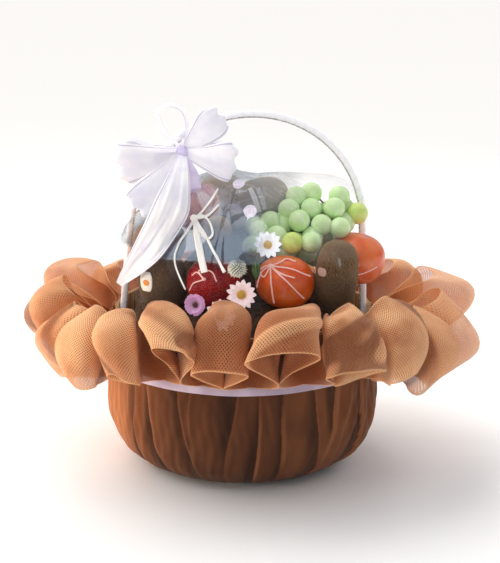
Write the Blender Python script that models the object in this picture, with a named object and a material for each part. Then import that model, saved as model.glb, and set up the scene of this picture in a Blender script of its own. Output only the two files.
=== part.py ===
"""A round fruit gift basket: a gauze-wrapped bowl with a gauze ruffle and a hoop handle, heaped with fruit and
flowers under clear film, with a satin bow.

Lengths below are in millimetres and the objects are built in metres. +Z is up, the front faces -Y, and the
origin is the middle of the bowl's underside.
"""

import itertools
import math

import bmesh
import bpy
import numpy as np
from mathutils import Euler, Vector
from mathutils.bvhtree import BVHTree

MM = 0.001
CLEAR = 0.4  # gap between pieces that touch

# Bowl: the wrap's outer radius at each height, and the walls inside it.
BOWL_HEIGHT = 195.0
WRAP_PROFILE = ((100, 0), (124, 4), (146, 17), (162, 40), (169, 70), (168, 120), (165, 195))
PLEATS = 16
PLEAT_DEPTH = 1.5
WRAP_BASE = 1.6
WRAP_TOP = 193.0
WRAP_DEPTH = 3.1  # from the wrap's mean face to its smooth inner face
WRAP_TO_BOWL = 0.9
WALL = 5.0
FLOOR = 6.0
FLOOR_RADIUS = 100.0
BOWL_SIDES = 24

# Packing heaped in the bowl, a bell over its middle.
HEAP_BASE = 185.0
HEAP_RISE = 115.0
HEAP_SPREAD = 95.0
HEAP_RINGS = (130.0, 115.0, 99.0, 82.0, 64.0, 46.0, 28.0, 12.0)
HEAP_SHOULDER = 143.0
HEAP_PRESS_REACH = (8.0, 16.0)  # a fruit presses the packing this far beside it
HEAP_PRESS_GAP = 1.2
PACKING_EDGE_TOP = 166.0

# Band that ties the wrap under the ruffle.
BAND_RADIUS = (171.4, 173.2)
BAND_HEIGHT = (131.0, 141.0)

# Ruffle: a gauze strip in loops round the rim. Each loop has its angle from +X in degrees, its reach out and up
# from its foot, its foot's height, half its width, the angles in degrees by which the width tips outwards and
# sideways, and how much its edges close it into a puff.
RUFFLE_LOOPS = (
    (234, 72, 54, 160, 46, 44, 34, 0.35), (248, 56, 84, 159, 46, 66, 30, 0.12), (264, 52, 80, 159, 43, 40, -4, 0.30),
    (283, 60, 86, 159, 48, 62, -26, 0.10), (301, 62, 72, 159, 48, 44, -18, 0.25), (319, 82, 52, 159, 50, 36, -24, 0.30),
    (336, 98, 12, 160, 51, 18, -20, 0.55), (353, 120, -8, 160, 50, 8, 10, 0.6), (12, 126, 34, 160, 46, 0, 0, 0.6),
    (32, 94, 34, 160, 48, 10, 12, 0.55), (58, 80, 32, 160, 48, 24, 20, 0.4), (84, 76, 30, 160, 46, 34, -10, 0.35),
    (109, 78, 30, 160, 46, 30, 16, 0.4), (135, 88, 32, 160, 44, 18, -10, 0.5), (157, 106, 48, 160, 43, 4, 8, 0.6),
    (173, 107, 12, 161, 48, 2, 0, 0.6), (190, 90, 38, 161, 46, 8, 14, 0.6), (204, 88, 16, 164, 46, 16, -16, 0.55),
    (219, 78, 32, 164, 46, 30, 30, 0.4),
)
RUFFLE_FOOT = 175.0
RUFFLE_WALL = 2.0
RUFFLE_COLUMNS = 8
RUFFLE_PINCH = 0.32
RUFFLE_LEVELS = (-1.0, -0.4, 0.4, 1.0)
LOOP_OVERHANG = 0.29

# Handle: a half ellipse, its top moved to +X by its lean, on two legs that stand inside the rim.
HANDLE_RADIUS = 4.4
HANDLE_CENTRE = 4.0
HANDLE_HALF_SPAN = 144.0
HANDLE_LEAN = 8.0
HANDLE_SPRING = 290.0
HANDLE_RISE = 143.0
HANDLE_STEPS = 21
LEG_FOOT = (151.0, 182.0)

# Film over the fruit.
FILM_LIFT = 5.0
FILM_WALL = 0.8
FILM_BASE = 197.0
FILM_CENTRE = 205.0
FILM_COLUMNS = 28
FILM_ROWS = 7
FILM_RIM = 162.0
FILM_SKIRT = 30.0  # depth below the base to which its outline is carried straight down
FILM_LEG_TOP = 306.0  # the handle's legs are held inside the film up to here
FILM_HOLE = 6.0

# Turned fruit: rings from end to end, and sides.
FRUIT_RINGS = 7
FRUIT_SIDES = 14

# Grapes: those in front at their own places, then more on even spirals over the cores that they all grow from.
GRAPE_RADIUS = 12.6
GRAPES_IN_FRONT = (
    (65, -13, 333), (84, -6, 336), (56, -26, 320), (83, -24, 320), (68, -42, 309), (95, -44, 304), (59, -66, 287),
    (82, -64, 287), (118, -10, 333), (111, -26, 321), (140, -17, 313), (117, -46, 301), (34, -34, 306), (20, -44, 297),
    (12, -58, 281), (41, -56, 293),
)
GRAPE_CORES = (((76, -16, 292), (36, 29, 34)), ((28, -50, 281), (28, 14, 19)), ((112, -15, 309), (22, 18, 13)))
GRAPES_PER_CORE = (9, 4, 3)
GRAPE_CROWD = 1.6  # nearest that two grapes' middles come, in radii
GRAPES_BACK = 14.0  # none stands further back than this

# Bows: the large one's knot hangs under the handle, and its sash runs down the film's left side.
BOW_KNOT = (-72.0, -20.0, 389.0)
BOW_KNOT_RADIUS = 9.5
BOW_RING_RADII = (7.4, 5.8)
BOW_RING_WIDTH = 10.0
BOW_RING_BITE = 0.3  # how far the neck's middle sinks into the ring's outside
SASH_ROUTE = ((-72, -24, 387), (-76, -74, 362), (-84, -94, 332), (-106, -88, 294), (-130, -86, 262), (-147, -80, 240))
SASH_WIDTHS = (10, 30, 44, 36, 20, 8)
SASH_GAP = 7.0  # from the film to the sash's outer face
SMALL_KNOT = (-56.0, 318.0)


def make_material(name, colour, roughness=0.5, alpha=1.0):
    made = bpy.data.materials.new(name)
    made.use_nodes = True
    shader = made.node_tree.nodes["Principled BSDF"]
    shader.inputs["Base Color"].default_value = (*colour, 1.0)
    shader.inputs["Roughness"].default_value = roughness
    shader.inputs["Metallic"].default_value = 0.0
    shader.inputs["Alpha"].default_value = alpha
    return made


def add_solid(name, points, faces, material):
    """Adds a closed mesh, given in millimetres, with its faces turned outwards."""
    mesh = bpy.data.meshes.new(name)
    mesh.from_pydata([tuple(p) for p in np.asarray(points, float) * MM], [], faces)
    work = bmesh.new()
    work.from_mesh(mesh)
    bmesh.ops.recalc_face_normals(work, faces=work.faces)
    work.to_mesh(mesh)
    work.free()
    mesh.materials.append(material)
    mesh.shade_smooth()
    mesh.set_sharp_from_angle(angle=math.radians(50))
    made = bpy.data.objects.new(name, mesh)
    bpy.context.scene.collection.objects.link(made)
    return made


def turned(profile, segments):
    """Points and faces of a closed solid turned about Z from (radius, height) pairs, both ends on the axis."""
    rings = profile[1:-1]
    points = [(0, 0, profile[0][1]), (0, 0, profile[-1][1])]
    for radius, height in rings:
        for step in range(segments):
            angle = 2 * math.pi * step / segments
            points.append((radius * math.cos(angle), radius * math.sin(angle), height))
    faces = []
    last = 2 + (len(rings) - 1) * segments
    for step in range(segments):
        after = (step + 1) % segments
        faces.append((0, 2 + after, 2 + step))
        faces.append((1, last + step, last + after))
        for ring in range(len(rings) - 1):
            low = 2 + ring * segments
            high = low + segments
            faces.append((low + step, low + after, high + after, high + step))
    return np.array(points), faces


def slab(front, back, closed=False, capped=False):
    """Points and triangles of a thin solid between two grids (rows, columns, 3), both split alike. closed joins
    the last column to the first, and capped closes the last row over its middle."""
    rows, columns = front.shape[:2]
    points = [*front.reshape(-1, 3), *back.reshape(-1, 3)]
    size = rows * columns
    faces = []

    def at(row, column, side):
        return side * size + row * columns + column % columns

    def wall(a, b):
        faces.append((a, b, b + size))
        faces.append((a, b + size, a + size))

    for row in range(rows - 1):
        for column in range(columns if closed else columns - 1):
            for side in (0, 1):
                corners = [at(row, column, side), at(row, column + 1, side)]
                corners += [at(row + 1, column + 1, side), at(row + 1, column, side)]
                a, b, c, d = corners
                faces += [(a, b, c), (a, c, d)] if side == 0 else [(c, b, a), (d, c, a)]
    for column in range(columns if closed else columns - 1):
        wall(at(0, column + 1, 0), at(0, column, 0))
        if not capped:
            wall(at(rows - 1, column, 0), at(rows - 1, column + 1, 0))
    if not closed:
        for row in range(rows - 1):
            wall(at(row, 0, 0), at(row + 1, 0, 0))
            wall(at(row + 1, columns - 1, 0), at(row, columns - 1, 0))
    if capped:
        for side, grid in ((0, front), (1, back)):
            points.append(grid[-1].mean(axis=0))
            for column in range(columns):
                a, b = at(rows - 1, column, side), at(rows - 1, column + 1, side)
                faces.append((a, b, len(points) - 1) if side == 0 else (b, a, len(points) - 1))
    return np.array(points), faces


def smooth_path(points, count):
    """count points along a Catmull-Rom curve through the given ones."""
    given = np.asarray(points, float)
    padded = np.vstack([2 * given[0] - given[1], given, 2 * given[-1] - given[-2]])
    places = np.linspace(0, len(given) - 1 - 1e-9, count)
    index = places.astype(int)
    t = (places - index)[:, None]
    p0, p1, p2, p3 = (padded[index + k] for k in range(4))
    return 0.5 * (2 * p1 + (p2 - p0) * t + (2 * p0 - 5 * p1 + 4 * p2 - p3) * t**2 + (3 * p1 - 3 * p2 + p3 - p0) * t**3)


def unit(vectors):
    return vectors / np.linalg.norm(vectors, axis=-1, keepdims=True)


def tube(points, radius, sides):
    """Points and faces of a round bar along a path, with flat ends."""
    path = np.asarray(points, float)
    along = unit(np.gradient(path, axis=0))
    across = unit(np.cross(along, (0.05, 1.0, 0.02)))
    over = np.cross(along, across)
    turn = np.linspace(0, 2 * math.pi, sides, endpoint=False)
    ring = np.cos(turn)[None, :, None] * across[:, None] + np.sin(turn)[None, :, None] * over[:, None]
    solid = (path[:, None] + radius * ring).reshape(-1, 3)
    faces = [tuple(range(sides)), tuple(range(len(solid) - sides, len(solid)))]
    for row in range(len(path) - 1):
        for side in range(sides):
            a, b = row * sides + side, row * sides + (side + 1) % sides
            faces.append((a, b, b + sides, a + sides))
    return solid, faces


def surface_of(made):
    """A search tree of an object's faces where it stands, in metres."""
    points = [made.matrix_world @ v.co for v in made.data.vertices]
    return BVHTree.FromPolygons(points, [tuple(face.vertices) for face in made.data.polygons])


def world_points(made):
    """An object's vertices in world millimetres, with its own place and turn applied."""
    return np.array([made.matrix_world @ v.co for v in made.data.vertices]) / MM


def join(name, pieces, material, solver="MANIFOLD"):
    """One solid from overlapping closed pieces, by one union on a collection."""
    parts = bpy.data.collections.new(name + "_pieces")
    bpy.context.scene.collection.children.link(parts)
    base = pieces[0]
    for piece in pieces[1:]:
        bpy.context.scene.collection.objects.unlink(piece)
        parts.objects.link(piece)
    union = base.modifiers.new("union", "BOOLEAN")
    union.operation = "UNION"
    union.operand_type = "COLLECTION"
    union.collection = parts
    union.solver = solver
    bpy.context.view_layer.update()
    mesh = bpy.data.meshes.new_from_object(base.evaluated_get(bpy.context.evaluated_depsgraph_get()))
    for piece in list(parts.objects):
        bpy.data.objects.remove(piece)
    bpy.data.collections.remove(parts)
    bpy.data.objects.remove(base)
    work = bmesh.new()
    work.from_mesh(mesh)
    bmesh.ops.remove_doubles(work, verts=work.verts, dist=0.00002)
    bmesh.ops.triangulate(work, faces=work.faces)
    work.to_mesh(mesh)
    work.free()
    mesh.materials.clear()
    mesh.materials.append(material)
    made = bpy.data.objects.new(name, mesh)
    bpy.context.scene.collection.objects.link(made)
    return made


def place(made, centre, tilt=(0, 0, 0)):
    made.location = Vector(centre) * MM
    made.rotation_euler = Euler([math.radians(a) for a in tilt])
    bpy.context.view_layer.update()
    return made


# Bowl, packing, wrap and band


def wrap_radius(height):
    radii, heights = zip(*WRAP_PROFILE)
    return float(np.interp(height, heights, radii))


def make_basket(material):
    inner = WRAP_DEPTH + WRAP_TO_BOWL
    heights = [h for _, h in WRAP_PROFILE]
    outside = [(wrap_radius(h) - inner, h) for h in heights]
    inside = [(wrap_radius(h) - inner - WALL, h) for h in heights if h > FLOOR + 2]
    profile = [(0, 0), *outside, (inside[-1][0], BOWL_HEIGHT), *inside[-2::-1], (FLOOR_RADIUS, FLOOR), (0, FLOOR)]
    return add_solid("basket", *turned(profile, BOWL_SIDES), material)


def heap_height(radius):
    return HEAP_BASE + HEAP_RISE * math.exp(-((radius / HEAP_SPREAD) ** 2))


def make_packing(fruit, material):
    """Packing up to the bell, pressed down under each fruit that lies in it."""
    trees = [surface_of(piece) for piece in fruit]
    inner = WRAP_DEPTH + WRAP_TO_BOWL + WALL + CLEAR
    wall = [(wrap_radius(h) - inner, h) for _, h in WRAP_PROFILE if FLOOR + 2 < h < PACKING_EDGE_TOP]
    edge = wrap_radius(PACKING_EDGE_TOP) - inner
    top = [(edge, PACKING_EDGE_TOP - 6), (edge - 2, PACKING_EDGE_TOP), (HEAP_SHOULDER, PACKING_EDGE_TOP + 8)]
    top += [(r, heap_height(r)) for r in HEAP_RINGS]
    foot = [(0, FLOOR + CLEAR), (FLOOR_RADIUS - 2, FLOOR + CLEAR)]
    points, faces = turned([*foot, *wall, *top, (0, heap_height(0))], BOWL_SIDES)
    turns = np.arange(8) * math.pi / 4
    around = [(0, 0)] + [(r * math.cos(a), r * math.sin(a)) for r in HEAP_PRESS_REACH for a in turns]
    for point in points:
        if point[2] < PACKING_EDGE_TOP + 1:
            continue
        for (x, y), tree in itertools.product(around, trees):
            hit = tree.ray_cast(Vector((point[0] + x, point[1] + y, FLOOR)) * MM, Vector((0, 0, 1)))[0]
            if hit is not None:
                point[2] = min(point[2], hit.z / MM - HEAP_PRESS_GAP)
    return add_solid("packing", points, faces, material)


def make_wrap(material):
    heights = [WRAP_BASE] + [h for _, h in WRAP_PROFILE[1:-1]] + [WRAP_TOP]
    turn = np.linspace(0, 2 * math.pi, 2 * PLEATS, endpoint=False)
    radii = np.array([wrap_radius(h) for h in heights])[:, None]
    outer = radii + PLEAT_DEPTH * np.cos(PLEATS * turn)
    inner = np.repeat(radii - WRAP_DEPTH, len(turn), axis=1)
    level = np.repeat(np.array(heights, float)[:, None], len(turn), axis=1)
    front = np.dstack([outer * np.cos(turn), outer * np.sin(turn), level])
    back = np.dstack([inner * np.cos(turn), inner * np.sin(turn), level])
    return add_solid("gauze_wrap", *slab(front, back, closed=True), material)


def make_band(material):
    turn = np.linspace(0, 2 * math.pi, BOWL_SIDES, endpoint=False)
    circle = np.stack([np.cos(turn), np.sin(turn)], axis=-1)
    grids = []
    for radius in BAND_RADIUS[::-1]:
        rows = [np.column_stack([circle * radius, np.full(len(turn), height)]) for height in BAND_HEIGHT]
        grids.append(np.array(rows))
    return add_solid("rim_band", *slab(*grids, closed=True), material)


# Ruffle


def ruffle_points(along, level):
    """The strip at distances along it, counted in loops, and levels from -1, its lower edge, to 1.

    A loop swings out and back as half of one minus the cosine of its turn. Its angle runs evenly round the rim,
    with a second swing that narrows its neck. The strip's width points up, tipped outwards and sideways, is drawn
    together at the neck, and curls in towards the strip's edges."""
    loops = np.array(RUFFLE_LOOPS, float)
    count = len(loops)
    centres = np.degrees(np.unwrap(np.radians(loops[:, 0])))
    before = np.append(centres, centres[0] + 360)
    edges = np.concatenate([[(centres[-1] - 360 + centres[0]) / 2], (before[:-1] + before[1:]) / 2])
    loop = np.floor(along).astype(int) % count
    phase = 2 * math.pi * (along - np.floor(along))

    # A loop's own numbers hold over its outer half, and blend into its neighbour's across the foot.
    knots = np.concatenate([np.arange(-1, count + 1) + 0.25, np.arange(-1, count + 1) + 0.75])
    order = np.argsort(knots)
    held = np.tile(np.concatenate([loops[-1:], loops, loops[:1]]), (2, 1))[order]
    blended = [np.interp(along % count, knots[order], held[:, column]) for column in range(1, loops.shape[1])]
    reach, rise, foot_height, half, tip, lean, close = blended
    tip, lean = np.radians(tip), np.radians(lean)

    out = (1 - np.cos(phase)) / 2
    curl = 1 - (0.15 + 0.55 * close) * level**2 + (0.08 - 0.2 * np.sin(tip)) * level
    shut = 1 - 0.55 * close * level**2 * np.minimum(1, 1.6 * out)
    from_middle = np.interp(along % count, np.arange(count + 1), edges) - before[loop]
    swing = LOOP_OVERHANG * np.diff(edges)[loop] * np.sin(2 * phase)
    drawn = half * (RUFFLE_PINCH + (1 - RUFFLE_PINCH) * np.sqrt(out))
    foot = RUFFLE_FOOT + half * RUFFLE_PINCH * np.sin(tip) * np.cos(lean)
    radius = foot + reach * curl * out - level * drawn * np.sin(tip) * np.cos(lean)
    aside = -level * drawn * np.sin(tip) * np.sin(lean)
    height = foot_height + rise * curl * out + level * drawn * np.cos(tip)
    angle = np.radians(before[loop] + shut * (from_middle + swing)) + aside / radius
    return np.stack([radius * np.cos(angle), radius * np.sin(angle), height], axis=-1)


def make_ruffle(material):
    along = np.arange(len(RUFFLE_LOOPS) * RUFFLE_COLUMNS)[None] / RUFFLE_COLUMNS
    level = np.array(RUFFLE_LEVELS)[:, None]
    middle = ruffle_points(along + 0 * level, level + 0 * along)
    flow = np.roll(middle, -1, axis=1) - np.roll(middle, 1, axis=1)
    half = RUFFLE_WALL / 2 * unit(np.cross(flow, np.gradient(middle, axis=0)))
    return add_solid("gauze_ruffle", *slab(middle + half, middle - half, closed=True), material)


# Handle and film


def handle_path(steps=HANDLE_STEPS):
    turn = np.linspace(0, math.pi, steps)
    arch_x = HANDLE_CENTRE + HANDLE_HALF_SPAN * np.cos(turn) + HANDLE_LEAN * np.sin(turn)
    arch = np.stack([arch_x, 0 * turn, HANDLE_SPRING + HANDLE_RISE * np.sin(turn)], axis=-1)
    foot_x, foot_z = LEG_FOOT
    middle_z = (foot_z + HANDLE_SPRING) / 2
    right = [(foot_x, 0, foot_z), ((foot_x + arch_x[0]) / 2, 0, middle_z)]
    left = [((arch_x[-1] - foot_x) / 2, 0, middle_z), (-foot_x, 0, foot_z)]
    return np.vstack([right, arch, left])


def make_handle(material):
    return add_solid("handle", *tube(handle_path(), HANDLE_RADIUS, 8), material)


def make_film(contents, material):
    """A thin open-based skin over the convex outline of the fruit, the rim and the handle's legs."""
    turn = np.linspace(0, 2 * math.pi, FILM_COLUMNS, endpoint=False)
    rim = np.stack([FILM_RIM * np.cos(turn), FILM_RIM * np.sin(turn), np.full(len(turn), FILM_BASE)], axis=-1)
    legs = handle_path()
    legs = legs[legs[:, 2] < FILM_LEG_TOP]
    outer_leg = legs + np.sign(legs[:, :1]) * np.array([[HANDLE_RADIUS + 1.0, 0, 0]])
    cloud = np.vstack([world_points(piece) for piece in contents] + [rim, rim - (0, 0, FILM_SKIRT), outer_leg])
    work = bmesh.new()
    for point in cloud:
        work.verts.new(Vector(point) * MM)
    bmesh.ops.convex_hull(work, input=work.verts)
    tree = BVHTree.FromBMesh(work)
    work.free()
    heights = np.linspace(0, math.pi / 2, FILM_ROWS + 1)[:-1]
    half_turn = math.pi / FILM_COLUMNS
    half_rise = math.pi / 4 / FILM_ROWS

    def reach(start, angle, rise):
        ray = Vector((math.cos(rise) * math.cos(angle), math.cos(rise) * math.sin(angle), math.sin(rise)))
        return tree.ray_cast(Vector((0, 0, start * MM)), ray)[3] / MM

    front, back = [], []
    for start, rise in [(FILM_BASE, 0.0)] + [(FILM_CENTRE, rise) for rise in heights]:
        rises = [rise] if rise == 0 else [rise - half_rise, rise, rise + half_rise]
        far = np.array([max(reach(start, a + s, r) for s in (-half_turn, 0, half_turn) for r in rises) for a in turn])
        rays = np.stack([math.cos(rise) * np.cos(turn), math.cos(rise) * np.sin(turn), 0 * turn + math.sin(rise)], -1)
        front.append((0, 0, start) + rays * (far + FILM_LIFT)[:, None])
        back.append((0, 0, start) + rays * (far + FILM_LIFT - FILM_WALL)[:, None])
    skin = add_solid("film_cover", *slab(np.array(front), np.array(back), closed=True, capped=True), material)
    cutter = add_solid("handle_cutter", *tube(handle_path(), FILM_HOLE, 8), material)
    cutter.hide_render = True
    cutter.display_type = "WIRE"
    holes = skin.modifiers.new("handle_holes", "BOOLEAN")
    holes.operation = "DIFFERENCE"
    holes.object = cutter
    return skin


# Fruit


def fruit_shape(half_width, half_height, square=2.0, top_dimple=0.0, foot_dimple=0.0, taper=0.0):
    """A turned fruit: a rounded outline of the given squareness, with dimples at its ends and a narrower top."""
    rings = FRUIT_RINGS
    profile = []
    for step in range(rings + 1):
        lift = -math.pi / 2 + math.pi * step / rings
        radius = half_width * abs(math.cos(lift)) ** (2 / square) * (1 - taper * math.sin(lift))
        height = half_height * math.copysign(abs(math.sin(lift)) ** (2 / square), lift)
        near_end = math.exp(-((radius / (0.32 * half_width)) ** 2))
        height -= near_end * (top_dimple if lift > 0 else -foot_dimple)
        profile.append((radius, height))
    profile[0] = (0, profile[0][1])
    profile[-1] = (0, profile[-1][1])
    return turned(profile, FRUIT_SIDES)


def ball(radius, fineness=2):
    work = bmesh.new()
    bmesh.ops.create_icosphere(work, subdivisions=fineness, radius=radius)
    points = np.array([v.co for v in work.verts])
    faces = [tuple(v.index for v in face.verts) for face in work.faces]
    work.free()
    return points, faces


def make_grapes(others, material):
    """Fused cores with grapes over them, without those that would cross other fruit."""
    trees = [surface_of(piece) for piece in others]
    golden = math.pi * (3 - math.sqrt(5))

    def is_free(centre, radius):
        for tree in trees:
            place_on, normal, _, distance = tree.find_nearest(Vector(centre) * MM)
            inside = (Vector(centre) * MM - place_on).dot(normal) < 0
            if inside or distance < (radius + CLEAR) * MM:
                return False
        return True

    grapes = [(np.array(spot, float), GRAPE_RADIUS) for spot in GRAPES_IN_FRONT]
    for (centre, axes), count in zip(GRAPE_CORES, GRAPES_PER_CORE):
        for step in range(count):
            height = 1 - 2 * (step + 0.5) / count
            flat = math.sqrt(1 - height * height)
            ray = np.array((flat * math.cos(golden * step), flat * math.sin(golden * step), height))
            spot = np.array(centre) + ray * (np.array(axes) + 1.0)
            radius = GRAPE_RADIUS * (1 + 0.05 * math.sin(2.3 * step))
            crowded = any(np.linalg.norm(spot - other) < GRAPE_CROWD * GRAPE_RADIUS for other, _ in grapes)
            if not crowded and spot[1] < GRAPES_BACK and is_free(spot, radius):
                grapes.append((spot, radius))

    core, faces = turned([(0, -1), (0.7, -0.7), (1, 0), (0.7, 0.7), (0, 1)], 10)
    pieces = [add_solid("core", core * axes + centre, faces, material) for centre, axes in GRAPE_CORES]
    for spot, radius in grapes:
        grape, faces = ball(radius)
        pieces.append(add_solid("grape", grape + spot, faces, material))
    return join("grape_bunch", pieces, material)


# Flowers and leaf


def flower_shape(radius, petals, disc_radius, disc_height, cup, thickness=1.0):
    """A flower facing +Z: a round domed disc in a ring of petals that cup upwards, all one solid."""
    columns = 2 * petals
    turn = np.linspace(0, 2 * math.pi, columns, endpoint=False)
    tip = np.where(np.arange(columns) % 2 == 0, radius, 0.78 * radius)
    radii = [tip, np.full(columns, 0.6 * radius), np.full(columns, disc_radius), np.full(columns, 0.55 * disc_radius)]
    lifts = [cup, 0.3 * cup, 0.2, disc_height]
    rows = [np.stack([r * np.cos(turn), r * np.sin(turn), np.full(columns, h)], axis=-1) for r, h in zip(radii, lifts)]
    front = np.array(rows)
    lower = np.array([(0, 0, thickness)] * 3 + [(0, 0, thickness + disc_height - 0.2)])
    return slab(front, front - lower[:, None], closed=True, capped=True)


def face_out(made, centre, outward):
    """Moves an object made facing +Z so that it faces the given way at a place in millimetres."""
    made.location = Vector(centre) * MM
    made.rotation_euler = Vector(outward).to_track_quat("Z", "Y").to_euler()
    bpy.context.view_layer.update()
    return made


def leaf_shape(length, width, thickness=1.0):
    rows = np.linspace(0, 1, 7)
    half = width / 2 * np.sin(math.pi * (0.06 + 0.9 * rows)) ** 0.8
    across = np.linspace(-1, 1, 4)
    x = across[None] * half[:, None]
    z = 1.2 * np.sin(4 * rows)[:, None] + 1.0 * across[None] ** 2
    front = np.stack([x, (rows[:, None] - 0.5) * length + 0 * x, z], axis=-1)
    return slab(front, front - (0, 0, thickness))


# Ribbons, twine and labels


def cast_from_front(tree, x, z):
    """The first face met from the front at a place in millimetres, as its point and outward normal."""
    hit, normal, _, _ = tree.ray_cast(Vector((x, -400, z)) * MM, Vector((0, 1, 0)))
    if hit is None:
        raise ValueError(f"nothing lies behind x {x:.0f}, z {z:.0f}")
    return np.array(hit) / MM, np.array(normal)


def strip_over(tree, route, widths, lift, thickness, columns=3, rows=8):
    """A ribbon laid over what it crosses: route is its middle line as (x, z) seen from the front."""
    line = smooth_path([(x, z) for x, z in route], rows)
    wide = np.interp(np.linspace(0, 1, rows), np.linspace(0, 1, len(widths)), widths)
    along = unit(np.gradient(line, axis=0))
    across = np.stack([-along[:, 1], along[:, 0]], axis=-1)
    front = np.zeros((rows, columns, 3))
    back = np.zeros((rows, columns, 3))
    for row in range(rows):
        for column in range(columns):
            share = column / (columns - 1) - 0.5
            x, z = line[row] + across[row] * wide[row] * share
            point, normal = cast_from_front(tree, x, z)
            front[row, column] = point + normal * (lift + thickness)
            back[row, column] = point + normal * lift
    return slab(front, back)


def twine_over(tree, route, radius=0.8, rows=7):
    """A thin round cord laid over a surface along (x, z) places seen from the front."""
    line = []
    for x, z in smooth_path(route, rows):
        point, normal = cast_from_front(tree, x, z)
        line.append(point + normal * (radius + 1.8))
    return tube(line, radius, 4)


def strip_free(route, across, half_widths, thickness=1.2, rows=9):
    """A ribbon in the air: route is its middle line, across its width's direction at the same places."""
    line = smooth_path(route, rows)
    side = unit(smooth_path(across, rows))
    half = np.interp(np.linspace(0, 1, rows), np.linspace(0, 1, len(half_widths)), half_widths)[:, None]
    normal = unit(np.cross(np.gradient(line, axis=0), side))
    edges = np.stack([line - side * half, line + side * half], axis=1)
    rise = normal[:, None] * thickness / 2
    return slab(edges + rise, edges - rise)


def make_twine(name, tree, routes, material):
    cords = [add_solid("cord", *twine_over(tree, route), material) for route in routes]
    point, normal = cast_from_front(tree, *routes[0][0])
    knot, faces = ball(2.4, 1)
    return join(name, [add_solid("knot", knot + point + normal * 3.2, faces, material), *cords], material)


def bow_loops():
    """The satin bow's loops as (route, width directions, half widths), from its knot."""
    front = (0.1, 1, 0.2)
    top = [(0, 0, 0), (6, -2, 26), (3, -1, 48), (-9, 1, 57), (-24, 2, 54), (-31, 2, 44), (-21, 0, 21), (0, 1, 2)]
    left = [(0, 0, 0), (-28, -2, 4), (-50, -3, 13), (-64, -2, 16), (-72, 0, 10), (-70, 1, 2), (-44, 1, 1), (0, 0, -2)]
    yield top, [front] * 8, (5, 8, 9, 9, 8, 5)
    yield left, [front] * 8, (5, 8, 9, 9, 8, 5)
    for tip, half_widths in (
        ((-76, -9, -14), (4, 14, 23, 26, 23, 14, 5)),
        ((-52, -56, -58), (4, 12, 19, 19, 19, 12, 4)),
        ((45, -9, 45), (4, 13, 20, 18, 20, 13, 4)),
        ((62, -34, -8), (4, 13, 22, 24, 22, 14, 5)),
    ):
        end = np.array(tip, float)
        out = [end * share + (0, -7 * math.sin(math.pi * share), 0) for share in (0, 0.35, 0.7, 0.97)]
        home = [end * share + (0, 5 + 6 * math.sin(math.pi * share), 0) for share in (1.0, 0.7, 0.35, 0)]
        across = np.cross(end, (0, 1, 0))
        yield out + home, [across] * 8, half_widths


def make_bow(film, material):
    """The large bow: its knot, loops and sash, and the band that ties it to the handle."""
    knot = np.array(BOW_KNOT, float)
    centre, faces = ball(BOW_KNOT_RADIUS, 1)
    pieces = [add_solid("knot", centre + knot, faces, material)]
    for route, across, half_widths in bow_loops():
        strip = strip_free(knot + np.array(route, float), across, half_widths)
        pieces.append(add_solid("loop", *strip, material))

    arch = handle_path(400)
    arch = arch[arch[:, 2] > HANDLE_SPRING]
    above = np.argmin(np.abs(arch[:, 0] - BOW_KNOT[0]))
    hung = arch[above]
    along = unit(arch[above - 1] - arch[above + 1])
    over = np.cross(along, (0, 1, 0))
    around = np.linspace(0, 2 * math.pi, 10, endpoint=False)
    circle = np.cos(around)[:, None] * np.array((0, 1, 0)) + np.sin(around)[:, None] * over
    ends = hung + along * np.array([[-1.0], [1.0]]) * BOW_RING_WIDTH / 2
    ring = [ends[:, None] + circle * radius for radius in BOW_RING_RADII]
    pieces.append(add_solid("ring", *slab(*ring, closed=True), material))
    front = -BOW_RING_RADII[0] + BOW_RING_BITE
    neck = [knot + (0, 4, 2), knot + (2, 6, 12), hung + (2, front, -5), hung + (2, front, 1)]
    pieces.append(add_solid("neck", *strip_free(neck, [(1, 0, 0.1)] * 4, (4, 4.5, 4.5), rows=5), material))

    rows = 9
    line = smooth_path(SASH_ROUTE, rows)
    wide = np.interp(np.linspace(0, 1, rows), np.linspace(0, 1, len(SASH_WIDTHS)), SASH_WIDTHS)
    heading = unit(np.gradient(line[:, ::2], axis=0))
    across = np.stack([-heading[:, 1], heading[:, 0]], axis=-1)
    front = np.zeros((rows, 4, 3))
    for row, column in itertools.product(range(rows), range(4)):
        x, z = line[row, ::2] + across[row] * wide[row] * (column / 3 - 0.5)
        hit = film.ray_cast(Vector((x, -400, z)) * MM, Vector((0, 1, 0)))[0]
        film_y = 0 if hit is None else hit.y / MM
        front[row, column] = (x, min(line[row, 1], film_y - SASH_GAP), z)
    pieces.append(add_solid("sash", *slab(front, front + (0, 1.2, 0)), material))
    return join("satin_bow", pieces, material)


def make_small_bow(film, material):
    """The small bow on the film, with its two tails and cord."""
    point, normal = cast_from_front(film, *SMALL_KNOT)
    centre, faces = ball(4.8, 1)
    pieces = [add_solid("knot", centre + point + normal * 5.2, faces, material)]
    x, z = SMALL_KNOT
    for route, widths in (
        ([(0, 0), (9, 4), (18, -2), (22, -13), (15, -18), (5, -9), (1, -2)], (3, 3.4, 3)),
        ([(0, 0), (-8, -12), (-18, -26), (-22, -44), (-9, -71)], (3, 2.6, 2.6)),
        ([(0, 0), (4, -18), (8, -34), (13, -52)], (5, 9, 8)),
        ([(1, 0), (14, -16), (26, -34), (36, -50)], (3.2, 3.2, 3.2)),
        ([(0, 0), (12, 11), (27, 30)], (2.4, 2.2, 1.8)),
        ([(0, 0), (16, 5), (28, 15)], (2.4, 2.2, 1.8)),
    ):
        places = [(x + a, z + b) for a, b in route]
        pieces.append(add_solid("strip", *strip_over(film, places, widths, 1.3, 1.2, columns=2, rows=5), material))
    return join("cream_bow", pieces, material)


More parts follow.
